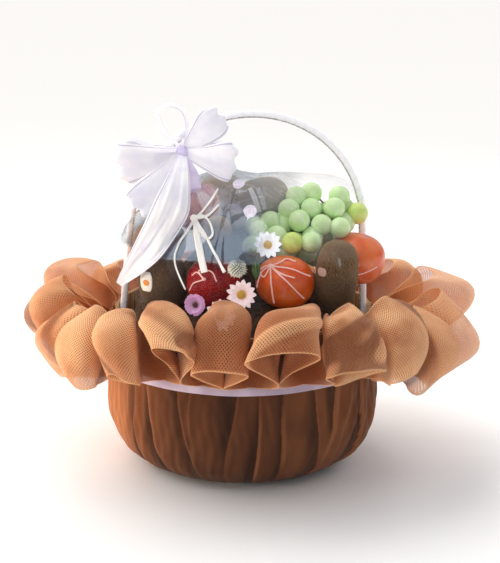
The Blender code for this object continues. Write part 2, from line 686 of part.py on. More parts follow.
def main():
    for old in list(bpy.data.objects):
        bpy.data.objects.remove(old)

    gauze = make_material("orange_gauze", (0.58, 0.25, 0.11), 0.8)
    wicker = make_material("wicker", (0.45, 0.30, 0.17), 0.7)
    paper = make_material("packing_paper", (0.16, 0.09, 0.05), 0.9)
    trim = make_material("lilac_trim", (0.62, 0.52, 0.60), 0.5)
    white = make_material("white_ribbon", (0.92, 0.91, 0.94), 0.4)
    satin = make_material("white_satin", (0.90, 0.88, 0.94), 0.35)
    clear = make_material("clear_film", (0.85, 0.90, 0.92), 0.1, 0.3)
    persimmon = make_material("persimmon_skin", (0.66, 0.13, 0.03), 0.35)
    kiwi = make_material("kiwi_skin", (0.16, 0.10, 0.05), 0.85)
    dark_red = make_material("red_skin", (0.20, 0.02, 0.02), 0.3)
    rosy = make_material("rosy_skin", (0.55, 0.20, 0.18), 0.35)
    yellow = make_material("yellow_skin", (0.70, 0.42, 0.12), 0.45)
    golden = make_material("golden_skin", (0.50, 0.34, 0.14), 0.55)
    dusky = make_material("dusky_skin", (0.18, 0.12, 0.16), 0.4)
    green = make_material("grape_skin", (0.36, 0.55, 0.20), 0.3)
    petal = make_material("white_petal", (0.85, 0.85, 0.88), 0.7)
    blush = make_material("blush_petal", (0.70, 0.50, 0.52), 0.7)
    mauve = make_material("lilac_petal", (0.42, 0.18, 0.32), 0.7)
    lime = make_material("lime_petal", (0.62, 0.75, 0.42), 0.8)
    leaf_green = make_material("leaf_green", (0.10, 0.22, 0.06), 0.6)
    pink = make_material("pink_twine", (0.80, 0.40, 0.35), 0.7)
    print_white = make_material("label_white", (0.88, 0.87, 0.82), 0.4)

    make_basket(wicker)
    make_wrap(gauze)
    make_band(trim)
    make_ruffle(gauze)
    handle = make_handle(white)

    round_fruit = {
        "persimmon_front": (persimmon, (50, -94, 246), (8, 4, 0), (34, 30, 2.3, 3, 4, 0)),
        "persimmon_right": (persimmon, (138, -39, 262), (0, 12, 0), (34, 31, 2.3, 3, 4, 0)),
        "kiwi_left": (kiwi, (-96, -72, 244), (4, -8, 0), (30, 37, 2.5, 0, 0, 0.03)),
        "kiwi_right": (kiwi, (111, -94, 256), (6, 3, 0), (25, 40, 2.9, 0, 0, 0.03)),
        "kiwi_top": (kiwi, (25, 6, 329), (0, 82, 8), (24.5, 32, 2.4, 0, 0, 0)),
        "red_fruit": (dark_red, (-34, -94, 245), (10, 0, 0), (32, 30, 2.2, 5, 5, 0)),
        "rosy_fruit": (rosy, (-57, -18, 322), (6, -10, 0), (30, 29, 2.1, 5, 4, 0)),
        "yellow_fruit": (yellow, (-103, -13, 276), (0, -20, 0), (33, 31, 2.1, 4, 4, 0)),
        "golden_fruit": (golden, (-27, 36, 326), (0, 0, 0), (30, 29, 2.1, 4, 4, 0)),
        "dusky_fruit": (dusky, (-10, -19, 309), (0, 0, 0), (15.5, 17, 2.0, 1, 1, 0)),
        "small_fruit": (golden, (-30, -55, 301), (0, 0, 0), (17, 17, 2.0, 1, 1, 0)),
    }
    fruit = []
    for name, (skin, centre, tilt, shape) in round_fruit.items():
        fruit.append(place(add_solid(name, *fruit_shape(*shape), skin), centre, tilt))
    grapes = make_grapes(fruit + [handle], green)
    make_packing(fruit + [grapes], paper)

    flowers = {
        "daisy_white": (petal, (29, -119, 296), (0.1, -1, 0.45), (15, 8, 5, 3, 2.5)),
        "daisy_blush": (blush, (-1, -131, 240), (0.0, -1, 0.25), (16.5, 8, 5.5, 3, 2.5)),
        "daisy_low": (blush, (-25, -139, 217), (-0.2, -1, 0.2), (19, 8, 5.5, 3, 3)),
        "lilac_flower": (mauve, (-54, -131, 228), (-0.3, -1, 0.2), (14, 7, 3.5, 3, 4)),
        "rosette_upper": (white, (-5, -22, 349), (-0.1, -0.6, 0.8), (7.2, 5, 2.4, 2.4, 2)),
        "rosette_lower": (white, (9, -50, 322), (0.0, -1, 0.4), (8.2, 5, 2.8, 2.6, 2)),
    }
    dressing = []
    for name, (colour, centre, outward, shape) in flowers.items():
        dressing.append(face_out(add_solid(name, *flower_shape(*shape), colour), centre, outward))
    leaf = add_solid("leaf", *leaf_shape(26, 13), leaf_green)
    dressing.append(face_out(leaf, (15, -121, 269), (0.3, -1, 0.2)))
    pompon = add_solid("pompon", *fruit_shape(11.5, 10.5), lime)
    dressing.append(place(pompon, (-6, -122, 269)))

    trees = {piece.name: surface_of(piece) for piece in fruit}
    over_kiwi = strip_over(trees["kiwi_top"], [(9, 343), (14, 333), (20, 315)], (5, 6, 6), 1.4, 0.9, rows=6)
    dressing.append(add_solid("fruit_ribbon", *over_kiwi, white))
    front_routes = [
        [(33, 269), (24, 262), (19, 249)],
        [(33, 269), (33, 250), (37, 228)],
        [(33, 269), (52, 254), (71, 232)],
        [(33, 269), (56, 267), (78, 257)],
    ]
    dressing.append(make_twine("twine_front", trees["persimmon_front"], front_routes, pink))
    right_routes = [[(118, 249), (139, 250), (160, 257)]]
    dressing.append(make_twine("twine_right", trees["persimmon_right"], right_routes, pink))
    red_routes = [[(-44, 256), (-56, 250), (-61, 240)], [(-44, 256), (-50, 264), (-36, 264), (-30, 254)]]
    dressing.append(make_twine("twine_left", trees["red_fruit"], red_routes, pink))
    label = strip_over(trees["kiwi_left"], [(-113, 259), (-113, 235)], (13, 14, 13), 1.3, 0.6, rows=6)
    dressing.append(add_solid("label_left", *label, print_white))
    label = strip_over(trees["kiwi_right"], [(93, 267), (93, 257)], (6, 9, 6), 1.3, 0.6, rows=4)
    dressing.append(add_solid("label_right", *label, print_white))

    film = make_film(fruit + [grapes] + dressing, clear)
    film_tree = surface_of(film)
    make_bow(film_tree, satin)
    make_small_bow(film_tree, satin)


main()
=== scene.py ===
"""The looks of a fruit gift basket: its gauze wrap and ruffle, satin bows, clear film, fruit and flowers.

Places and lengths are millimetres in the part's own frame, the same as in its solids, and become metres when
a mesh is made. In a material, Object coordinates are metres and the flat map is millimetres where a pattern
needs them. Each shape is a surface over a grid of rows and columns, worked out as whole arrays.
"""

import math

import bmesh
import bpy
import numpy as np
from mathutils import Euler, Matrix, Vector
from mathutils.bvhtree import BVHTree


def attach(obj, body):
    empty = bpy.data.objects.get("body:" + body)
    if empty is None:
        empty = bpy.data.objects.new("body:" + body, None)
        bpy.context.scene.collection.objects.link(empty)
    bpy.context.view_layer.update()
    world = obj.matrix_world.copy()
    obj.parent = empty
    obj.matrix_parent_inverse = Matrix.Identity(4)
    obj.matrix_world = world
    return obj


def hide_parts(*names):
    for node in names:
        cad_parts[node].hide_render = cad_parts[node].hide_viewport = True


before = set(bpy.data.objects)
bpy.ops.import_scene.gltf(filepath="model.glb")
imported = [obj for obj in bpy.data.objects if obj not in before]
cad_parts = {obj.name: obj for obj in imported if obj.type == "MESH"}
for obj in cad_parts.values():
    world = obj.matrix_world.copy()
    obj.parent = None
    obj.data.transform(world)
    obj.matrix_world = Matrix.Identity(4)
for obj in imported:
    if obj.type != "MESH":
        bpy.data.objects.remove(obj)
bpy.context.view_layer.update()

MM = 0.001
TURN = 2 * math.pi
GOLDEN = math.pi * (3 - math.sqrt(5))
OUTSIDE = 400.0  # A ray that looks for a surface starts this far out.
draw = np.random.default_rng(11)


# Nodes of a material

def tint(red, green, blue):
    """A colour as the screen shows it, 0 to 255 each, in the linear values that shaders take."""
    share = np.array([red, green, blue]) / 255
    linear = np.where(share <= 0.04045, share / 12.92, ((share + 0.055) / 1.055) ** 2.4)
    return (*linear.tolist(), 1.0)


class Finish:
    """A material with one Principled shader. Its methods add nodes and return the output that is used."""

    def __init__(self, name, **sockets):
        self.material = bpy.data.materials.new(name)
        self.material.use_nodes = True
        self.tree = self.material.node_tree
        self.shader = self.tree.nodes["Principled BSDF"]
        self.set(**sockets)

    def set(self, **sockets):
        """Values or outputs into the shader's sockets, by name."""
        for name, value in sockets.items():
            self.feed(self.shader.inputs[name.replace("_", " ").title().replace("Ior", "IOR")], value)

    def feed(self, socket, value):
        """A socket linked to an output, or set to a plain value."""
        if isinstance(value, bpy.types.NodeSocket):
            self.tree.links.new(value, socket)
        else:
            socket.default_value = value

    def node(self, kind, *values, **settings):
        """A new node with its settings, and its first sockets fed with the values."""
        made = self.tree.nodes.new("ShaderNode" + kind)
        for name, value in settings.items():
            setattr(made, name, value)
        for socket, value in zip(made.inputs, values):
            if value is not None:
                self.feed(socket, value)
        return made

    def calc(self, operation, *values):
        return self.node("Math", *values, operation=operation).outputs[0]

    def product(self, first, *others):
        """The first value times each of the others in turn."""
        for other in others:
            first = self.calc("MULTIPLY", first, other)
        return first

    def place(self):
        return self.node("TexCoord").outputs["Object"]

    def axes(self):
        """X, Y and Z of each place on the piece, in metres."""
        return self.node("SeparateXYZ", self.place()).outputs[:]

    def depth(self):
        """The number that the piece's mesh keeps for each point."""
        return self.node("Attribute", attribute_name="depth").outputs["Fac"]

    def flat(self):
        """The two parts of the piece's own flat map."""
        split = self.node("SeparateXYZ", self.node("TexCoord").outputs["UV"])
        return split.outputs[0], split.outputs[1]

    def stretched(self, scale):
        made = self.node("Mapping", self.place())
        made.inputs["Scale"].default_value = scale
        return made.outputs[0]

    def noise(self, scale, detail=3.0, vector=None, roughness=0.55):
        made = self.node("TexNoise", vector or self.place())
        made.inputs["Scale"].default_value = scale
        made.inputs["Detail"].default_value = detail
        made.inputs["Roughness"].default_value = roughness
        return made.outputs[0]

    def step(self, value, low, high, start=0.0, end=1.0):
        """value taken from the range low to high, onto start to end, and held at its ends."""
        return self.node("MapRange", value, low, high, start, end, interpolation_type="SMOOTHSTEP").outputs[0]

    def mix(self, share, first, second):
        made = self.node("Mix", data_type="RGBA")
        for place, value in ((0, share), (6, first), (7, second)):
            self.feed(made.inputs[place], value)
        return made.outputs[2]

    def bump(self, height, distance_mm, strength=1.0):
        made = self.node("Bump")
        made.inputs["Strength"].default_value = strength
        made.inputs["Distance"].default_value = distance_mm * MM
        self.feed(made.inputs["Height"], height)
        self.set(normal=made.outputs[0])

    def threads(self, pitch, width):
        """1 on the threads of a net of diamonds, 0 in its holes. The flat map is in millimetres."""
        lines = []
        for way in ("ADD", "SUBTRACT"):
            away = self.calc("PINGPONG", self.calc(way, *self.flat()), pitch / 2)
            lines.append(self.step(away, width / 2 - 0.2, width / 2 + 0.2, 1.0, 0.0))
        return self.calc("MAXIMUM", *lines)


# Meshes

def corners_of(rows, columns, closed):
    """Row and column of each corner of a grid's faces. The column past a closed grid's last is its first."""
    spans = columns if closed else columns - 1
    row, column = (part.ravel() for part in np.mgrid[0 : rows - 1, 0:spans])
    return np.stack([row, row, row + 1, row + 1], 1), np.stack([column, column + 1, column + 1, column], 1)


def patch(grid, closed=False, poles=(None, None), flat=None, finish=0):
    """Points, faces, the flat map at each face's corners and the finish of a grid (rows, columns, 3). poles
    are the points that close the first and the last row of a closed grid."""
    rows, columns = grid.shape[:2]
    row, column = corners_of(rows, columns, closed)
    if flat is None:
        flat = np.dstack(np.meshgrid(np.linspace(0, 1, columns + closed), np.linspace(0, 1, rows)))
    points = [grid.reshape(-1, 3)]
    faces = (row * columns + column % columns).tolist()
    corners = [flat[row, column].reshape(-1, 2)]
    for end, pole in zip((0, rows - 1), poles):
        if pole is None:
            continue
        here = np.arange(columns)
        after = here + 1
        first, second = (after, here) if end == 0 else (here, after)
        tip = len(grid.reshape(-1, 3)) + len(points) - 1
        points.append(np.array(pole, float)[None])
        fan = np.stack([first % columns + end * columns, second % columns + end * columns, 0 * here + tip], 1)
        faces += fan.tolist()
        middle = (flat[end, first] + flat[end, second]) / 2
        corners.append(np.stack([flat[end, first], flat[end, second], middle], 1).reshape(-1, 2))
    return np.vstack(points), faces, np.vstack(corners), finish


def add_piece(name, parts, finishes, nodes=(), wall=0.0, depth=None):
    """One object from patches: it rides on the basket, stands for the named nodes, and has a wall if one is
    given. depth is a number for each point, which its material reads as the attribute of that name."""
    mesh = bpy.data.meshes.new(name)
    points, faces, corners, index = [], [], [], []
    start = 0
    for some_points, some_faces, some_corners, finish in parts:
        faces += [[corner + start for corner in face] for face in some_faces]
        points.append(some_points)
        corners.append(some_corners)
        index += [finish] * len(some_faces)
        start += len(some_points)
    mesh.from_pydata((np.vstack(points) * MM).tolist(), [], faces)
    mesh.uv_layers.new(name="flat").data.foreach_set("uv", np.vstack(corners).ravel())
    for finish in finishes:
        mesh.materials.append(finish)
    mesh.polygons.foreach_set("material_index", index)
    if depth is not None:
        mesh.attributes.new("depth", "FLOAT", "POINT").data.foreach_set("value", np.ravel(depth))
    mesh.shade_smooth()
    made = bpy.data.objects.new(name, mesh)
    bpy.context.scene.collection.objects.link(made)
    if wall:
        shell = made.modifiers.new("wall", "SOLIDIFY")
        shell.thickness = wall * MM
        shell.offset = 0
    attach(made, "root")
    if nodes:
        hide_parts(*nodes)
    return made


def resample(points, count, closed=False):
    """count points along a Catmull-Rom curve through the given ones, on the first axis. A closed curve joins
    its last point to its first, and its count leaves the first one out at the end."""
    given = np.asarray(points, float)
    if closed:
        padded = np.concatenate([given[-1:], given, given[:2]])
        places = np.arange(count) * len(given) / count
    else:
        padded = np.concatenate([2 * given[:1] - given[1:2], given, 2 * given[-1:] - given[-2:-1]])
        places = np.linspace(0, len(given) - 1 - 1e-9, count)
    index = places.astype(int)
    t = (places - index).reshape((-1,) + (1,) * (given.ndim - 1))
    p0, p1, p2, p3 = (padded[index + k] for k in range(4))
    square, cube = 2 * p0 - 5 * p1 + 4 * p2 - p3, 3 * p1 - 3 * p2 + p3 - p0
    return 0.5 * (2 * p1 + (p2 - p0) * t + square * t**2 + cube * t**3)


def refined(grid, rows, columns, closed=False):
    """A grid carried along Catmull-Rom curves both ways."""
    tall = resample(grid, rows)
    return resample(tall.swapaxes(0, 1), columns, closed).swapaxes(0, 1)


def unit(vectors):
    """Vectors brought to a length of one."""
    return vectors / np.linalg.norm(vectors, axis=-1, keepdims=True)


def lengths(points):
    """Distance along a line of points, from its first."""
    return np.concatenate([[0], np.cumsum(np.linalg.norm(np.diff(points, axis=0), axis=1))])


def turns(count):
    """Even angles round a whole turn, from 0."""
    return np.linspace(0, TURN, count, endpoint=False)


def about_axis(radius, turn, height):
    """Points about Z from their radii, angles and heights."""
    return np.stack([radius * np.cos(turn), radius * np.sin(turn), height + 0 * turn], axis=-1)


def circles(turn, first, second):
    """The circle in the plane of two directions, for each pair of them."""
    return np.cos(turn)[:, None] * first[..., None, :] + np.sin(turn)[:, None] * second[..., None, :]


def spiral(count):
    """Directions spread evenly over a ball, each turned by the golden angle from the one before."""
    step = np.arange(count)
    height = 1 - 2 * (step + 0.5) / count
    return about_axis(np.sqrt(1 - height**2), GOLDEN * step, height)


def moved(part, centre, tilt=(0, 0, 0), facing=None):
    """A patch turned about the origin, by angles in degrees or to face its +Z a way, and put at a centre."""
    points, *rest = part
    turn = Euler([math.radians(a) for a in tilt]).to_matrix()
    if facing is not None:
        turn = Vector(facing).to_track_quat("Z", "Y").to_matrix()
    return (points @ np.array(turn).T + centre, *rest)


def tree_of(made):
    """A search tree of a piece's or node's own mesh, in metres."""
    points = [point.co for point in made.data.vertices]
    return BVHTree.FromPolygons(points, [tuple(face.vertices) for face in made.data.polygons])


def tube(path, radius, sides=10, flat=None, across=None, finish=0):
    """A round bar along a path, closed at its ends: circles of the given radius square to the path."""
    along = unit(np.gradient(path, axis=0))
    side = unit(np.cross(along, (0.05, 1.0, 0.02))) if across is None else np.broadcast_to(across, path.shape)
    wide = np.asarray(radius, float).reshape(-1, 1) if np.ndim(radius) < 2 else radius
    wide = np.broadcast_to(wide, (len(path), sides))
    grid = path[:, None] + wide[..., None] * circles(turns(sides), np.cross(along, side), side)
    return patch(grid, True, (path[0], path[-1]), flat, finish)


def ball(centre, radii, rings=9, columns=14, finish=0):
    """An ellipsoid about a centre."""
    lift = np.linspace(-math.pi / 2, math.pi / 2, rings + 2)[1:-1, None]
    grid = about_axis(np.cos(lift), turns(columns)[None], np.sin(lift)) * radii
    pole = np.array([0, 0, radii[2]]) if np.ndim(radii) else np.array([0, 0, radii])
    return patch(grid + centre, True, (centre - pole, centre + pole), None, finish)


def cast(tree, x, z):
    """The first face met from the front at a place, as its point and outward normal."""
    hit, normal, _, _ = tree.ray_cast(Vector((x, -OUTSIDE, z)) * MM, Vector((0, 1, 0)))
    if hit is None:
        raise ValueError(f"nothing lies behind x {x:.0f}, z {z:.0f}")
    return np.array(hit) / MM, np.array(normal)


def strip_places(line, widths, columns):
    """Row, column, X and Z of each point of a flat strip seen from the front, along its middle line."""
    wide = np.interp(np.linspace(0, 1, len(line)), np.linspace(0, 1, len(widths)), widths)
    along = unit(np.gradient(line, axis=0))
    across = np.stack([-along[:, 1], along[:, 0]], axis=-1)
    for row, middle in enumerate(line):
        for column in range(columns):
            yield row, column, *(middle + across[row] * wide[row] * (column / (columns - 1) - 0.5))


def strip_over(tree, route, widths, lift, rows=6, columns=3):
    """A ribbon's grid laid over what it crosses: its middle line seen from the front, its widths and lift."""
    grid = np.zeros((rows, columns, 3))
    for row, column, x, z in strip_places(resample(route, rows), widths, columns):
        point, normal = cast(tree, x, z)
        grid[row, column] = point + normal * lift
    return grid


def ribbon(route, across, half_widths, rows, columns, cup=0.0, ripple=0.0, rounded=0.0):
    """A ribbon in the air: a middle line, its width's direction at the same places, and half widths along
    it. It cups by cup mm at its edges, and ripples across its width by ripple mm. Its far end is wavy, and
    rounded by that many mm at its corners."""
    line = resample(route, rows)
    side = unit(resample(across, rows))
    places = np.linspace(0, 1, rows)
    half = resample(half_widths, rows)
    normal = unit(np.cross(np.gradient(line, axis=0), side))
    spread = np.linspace(-1, 1, columns)
    waves = np.sin(7 * spread[None] + 9 * places[:, None]) * np.sin(math.pi * places[:, None])
    rise = cup * spread[None] ** 2 + ripple * waves
    wide = side[:, None] * (half[:, None] * spread)[..., None]
    grid = line[:, None] + wide + normal[:, None] * rise[..., None]
    away = np.linalg.norm(line - line[0], axis=1)
    outward = (line[np.argmax(away)] - line[0]) / away.max()
    wavy_end = spread[None] ** 4 + 0.22 * np.sin(8 * spread[None])
    drawn_in = rounded * wavy_end * (away[:, None] / away.max()) ** 3
    grid = grid - outward * drawn_in[..., None]
    flat = np.dstack([spread + 0 * rise, np.broadcast_to(lengths(line)[:, None], rise.shape)])
    return patch(grid, flat=flat)


# Gauze: the wrap and the ruffle

WRAP_PROFILE = ((100, 0), (124, 4), (146, 17), (162, 40), (169, 70), (168, 120), (165, 195))
WRAP_HEIGHTS = (1.6, 193.0)
WRAP_PLEATS = 30
WRAP_SOFT_FOLDS = 34
WRAP_RADIUS = 168.0
BAND_MIDDLE = 136.0
BAND_RADIUS = 172.3
BAND_HEIGHT = (131.0, 141.0)
NET_PITCH = 3.6
NET_THREAD = 1.6


def gauze(name):
    """What both gauzes share: matt yarn in a net of diamonds, which the bump follows. It gives the finish,
    which has no colour yet, and the net, 1 on its threads."""
    finish = Finish(name, roughness=0.75, sheen_weight=0.1, sheen_roughness=0.4, specular_ior_level=0.2)
    finish.set(subsurface_weight=0.4, subsurface_scale=0.003, subsurface_radius=(1.0, 0.6, 0.4))
    net = finish.threads(NET_PITCH, NET_THREAD)
    finish.bump(net, 0.5, 0.6)
    return finish, net


def cloudy_yarn(finish, light, deep):
    """Two tones of yarn in soft clouds."""
    return finish.mix(finish.step(finish.noise(15.0, 3.0), 0.22, 0.60, 0.2, 1.0), deep, light)


def ruffle_gauze():
    """The ruffle's gauze: deeper near the rim, partly for its denser gathers and partly as painted shade, and
    deeper at the front as painted shade, except on one loop on the left that stays lit. Painted shade darkens
    its grooves and a painted highlight pales its ridges. Its holes are open, it thins far out at the sides,
    and its edges are closed."""
    light, deep, shade = tint(242, 180, 134), tint(164, 96, 58), tint(122, 70, 42)
    finish, net = gauze("ruffle_gauze")
    yarn = cloudy_yarn(finish, light, deep)
    x, y, _ = finish.axes()
    out = finish.calc("SQRT", finish.calc("ADD", finish.product(x, x), finish.product(y, y)))
    # Deeper near the rim: partly the denser gathers, partly painted shade where they shadow one another.
    near = finish.step(out, 0.182, 0.228, 1.0, 0.0)
    # Painted shade: the gauze is made deeper at the front, except on one loop on the left that stays lit.
    painted_front_shade = finish.product(finish.step(y, -0.25, -0.17, 0.85, 0.0), finish.step(x, 0.06, 0.12, 1.0, 0.0))
    from_lit_loop = finish.calc("ABSOLUTE", finish.calc("ADD", x, 0.09))
    painted_front_shade = finish.product(painted_front_shade, finish.step(from_lit_loop, 0.02, 0.045, 0.0, 1.0))
    yarn = finish.mix(finish.calc("MAXIMUM", painted_front_shade, near), yarn, deep)
    fold = finish.depth()
    # Painted shade in the grooves of the creases, and a painted highlight on their ridges.
    yarn = finish.mix(finish.step(fold, -4.0, -0.8, 0.75, 0.0), yarn, shade)
    yarn = finish.mix(finish.step(fold, 0.8, 3.6, 0.0, 0.75), yarn, light)
    from_middle = finish.calc("ABSOLUTE", finish.flat()[1])
    edge = finish.step(from_middle, RUFFLE_EDGE - 1.8, RUFFLE_EDGE - 1.2, 0.0, 0.7)
    thin = finish.step(finish.calc("ABSOLUTE", x), 0.17, 0.25, 1.0, 0.62)
    net_cover = finish.product(finish.step(net, 0.0, 1.0, 0.28, 0.94), thin)
    cover = finish.calc("MAXIMUM", net_cover, finish.product(edge, 0.8))
    finish.set(base_color=finish.mix(edge, yarn, light), alpha=cover)
    return finish.material


def wrap_gauze():
    """The wrap's gauze: its holes show a dark colour, painted shade of what lies under it. Painted shade
    darkens each pleat low down, where the next one's edge lies over it, and a band down the middle; a painted
    highlight pales some crests, and painted light pales the left side."""
    # ground is a dark colour of painted shade: in the net's holes, low on the pleats and in the middle band.
    light, deep, ground = tint(132, 79, 47), tint(97, 57, 35), tint(40, 23, 14)
    finish, net = gauze("gathered_gauze")
    yarn = cloudy_yarn(finish, light, deep)
    crest = finish.depth()
    fading = finish.step(finish.noise(11.0, 2.0, finish.stretched((1.0, 1.0, 0.6))), 0.42, 0.62)
    # Painted shade low on each pleat, where the next one's edge lies over it.
    layers = finish.mix(finish.step(crest, 0.26, 0.62), finish.mix(0.7, yarn, ground), yarn)
    # Painted highlight: a pale line along some crests.
    lit_edge = finish.product(finish.step(crest, 0.86, 0.96, 0.0, 0.6), fading)
    layers = finish.mix(lit_edge, layers, tint(176, 114, 76))
    x = finish.axes()[0]
    # Painted shade in a band down the middle, across X.
    front = finish.product(finish.step(x, -0.135, -0.085, 0.0, 0.45), finish.step(x, 0.03, 0.08, 1.0, 0.0))
    layers = finish.mix(front, layers, ground)
    # Painted light: paler on the left side.
    layers = finish.mix(finish.step(x, -0.155, -0.125, 0.45, 0.0), layers, tint(206, 132, 86))
    colour = finish.mix(finish.step(net, 0.0, 1.0, 0.68, 1.0), ground, layers)
    finish.set(base_color=colour, sheen_weight=0.05)
    return finish.material


def make_wrap():
    """Gauze gathered on the bowl: the bowl's radius at each height, plus pleats. A pleat rises at once at its
    own edge and slopes down to the next one's. The edges lean and wander as they run down, and soft folds
    cross them. Both fade at the foot, and are pressed flat where the band ties them."""
    rows, columns = 54, 900
    turn = turns(columns)[None]
    height = np.linspace(*WRAP_HEIGHTS, rows)[:, None]
    radii, heights = resample(WRAP_PROFILE, 200).T
    radius = np.interp(height, heights, radii)
    pleats, crest = np.zeros((2, rows, columns))
    starts = (np.arange(WRAP_PLEATS) + draw.uniform(-0.48, 0.48, WRAP_PLEATS)) * TURN / WRAP_PLEATS
    for start, after in zip(starts, np.roll(starts, -1)):
        lean, sway, depth = draw.uniform((-0.10, 0.005, 2.2), (0.10, 0.03, 6.6))
        edge = start + lean * (height - 90) / 90 + sway * np.sin(height / 31 + 9 * start)
        wide = 1.35 * max((after - start) % TURN, 0.12)
        away = (turn - edge) % TURN
        share = away / wide
        rise = depth * np.clip(1 - share, 0, 1) ** 0.8 * np.sin(np.clip(away / 0.026, 0, 1) * math.pi / 2)
        crest = np.where(rise > pleats, 1 - share, crest)
        pleats = np.maximum(pleats, rise)
    soft = np.zeros((rows, columns))
    for _ in range(WRAP_SOFT_FOLDS):
        at, lean, depth, width = draw.uniform((0, -0.6, 1.2, 0.015), (TURN, 0.6, 3.6, 0.06))
        away = (turn - at - lean * (height - 90) / 90 + math.pi) % TURN - math.pi
        soft += depth * np.exp(-((away / width) ** 2)) * np.clip(1.2 * np.sin(height / 50 + at), 0, 1)
    fine = 0.6 * np.sin(53 * turn + 3 * np.sin(height / 21))
    fine = fine + 0.35 * np.sin(97 * turn + 2 * np.sin(height / 13))
    tied = np.exp(-(((height - BAND_MIDDLE) / 16) ** 2))
    foot = np.clip(height / 26, 0, 1)
    wide = radius - 3.6 + ((pleats + soft + fine) * (1 - 0.75 * tied) + 1.8 * tied) * foot
    grid = about_axis(wide, turn, height)
    around = np.arange(columns + 1)[None] * TURN * WRAP_RADIUS / columns + 5 * np.sin(height / 50)
    flat = np.dstack([around, np.broadcast_to(height, around.shape) + 6 * np.sin(around / 40)])
    parts = [patch(grid, True, flat=flat)]
    made = add_piece("wrap_gauze", parts, [wrap_gauze()], ["gauze_wrap"], 0.8, crest)


def satin_finish(name, light, shade, roughness=0.38, hem=None):
    """Satin: fine cross ribs, a sheen, and a slow drift between two tones. A hem's colour shows as a thin
    line beside each edge, where the flat map runs from -1 to 1 across. A faint glow of the light tone is
    painted light."""
    finish = Finish(name, roughness=roughness, sheen_weight=0.3, sheen_roughness=0.3, subsurface_weight=0.8)
    finish.set(subsurface_scale=0.002, subsurface_radius=(1.0, 1.0, 1.0))
    # Painted light: a faint glow of the light tone.
    finish.set(emission_color=light, emission_strength=0.12)
    drift = finish.noise(34.0, 2.0)
    colour = finish.mix(finish.step(drift, 0.3, 0.7), shade, light)
    if hem:
        off = finish.calc("ABSOLUTE", finish.calc("SUBTRACT", finish.calc("ABSOLUTE", finish.flat()[0]), 0.9))
        colour = finish.mix(finish.step(off, 0.02, 0.05, 1.0, 0.0), colour, hem)
    finish.set(base_color=colour)
    rib = finish.calc("PINGPONG", finish.flat()[1], 0.35)
    finish.bump(rib, 0.15, 0.4)
    return finish.material


def make_band():
    """The satin band under the ruffle: a closed strip that bellies a little between its edges. Its lilac grey
    is painted shade on a white band.
    """
    columns = 240
    turn = turns(columns)[None]
    share = np.linspace(-1, 1, 7)[:, None]
    low, high = BAND_HEIGHT
    radius = BAND_RADIUS + 0.7 * (1 - share**2) + 0.25 * np.sin(17 * turn + 2 * share)
    height = (low + high) / 2 + share * (high - low) / 2 + 0.5 * np.sin(5 * turn)
    grid = about_axis(radius, turn, height)
    around = np.arange(columns + 1)[None] * TURN * BAND_RADIUS / columns + 0 * share
    flat = np.dstack([np.broadcast_to(5 * share, around.shape), around])
    # Painted shade: the white band is given the lilac grey it shows under the ruffle.
    finish = satin_finish("band_shade_satin", tint(192, 174, 190), tint(162, 142, 160))
    made = add_piece("band_satin", [patch(grid, True, flat=flat)], [finish], ["rim_band"], 0.5)


# Each loop: its angle from +X in degrees, how far it reaches out and up from its foot, its foot's height,
# half its width, how far its width tips outwards and sideways in degrees, and how much it closes to a puff.
RUFFLE_LOOPS = (
    (234, 72, 54, 160, 46, 44, 34, 0.35), (248, 56, 84, 159, 46, 66, 30, 0.12),
    (264, 52, 80, 159, 43, 40, -4, 0.30), (283, 60, 86, 159, 48, 62, -26, 0.10),
    (301, 62, 72, 159, 48, 44, -18, 0.25), (319, 82, 52, 159, 50, 36, -24, 0.30),
    (336, 98, 12, 160, 51, 18, -20, 0.55), (353, 120, -8, 160, 50, 8, 10, 0.6),
    (12, 126, 34, 160, 46, 0, 0, 0.6), (32, 94, 34, 160, 48, 10, 12, 0.55),
    (58, 80, 32, 160, 48, 24, 20, 0.4), (84, 76, 30, 160, 46, 34, -10, 0.35),
    (109, 78, 30, 160, 46, 30, 16, 0.4), (135, 88, 32, 160, 44, 18, -10, 0.5),
    (157, 106, 48, 160, 43, 4, 8, 0.6), (173, 107, 12, 161, 48, 2, 0, 0.6),
    (190, 90, 38, 161, 46, 8, 14, 0.6), (204, 88, 16, 164, 46, 16, -16, 0.55),
    (219, 78, 32, 164, 46, 30, 30, 0.4),
)
RUFFLE_FOOT = 175.0
RUFFLE_PINCH = 0.32
RUFFLE_EDGE = 50.0
LOOP_OVERHANG = 0.33
RUFFLE_SEED = 5
LOOP_COLUMNS = 52
RUFFLE_ROWS = 27
# Sets of slack waves: how many, then the least and the most of their turns in a loop, tip, start and depth.
RUFFLE_WAVES = (
    (4, (0.4, 0.8, 0, 3.0), (1.3, 2.4, TURN, 4.6)),
    (6, (1.6, 1.5, 0, 0.8), (3.6, 4.5, TURN, 2.4)),
)
RUFFLE_CREASES = 96


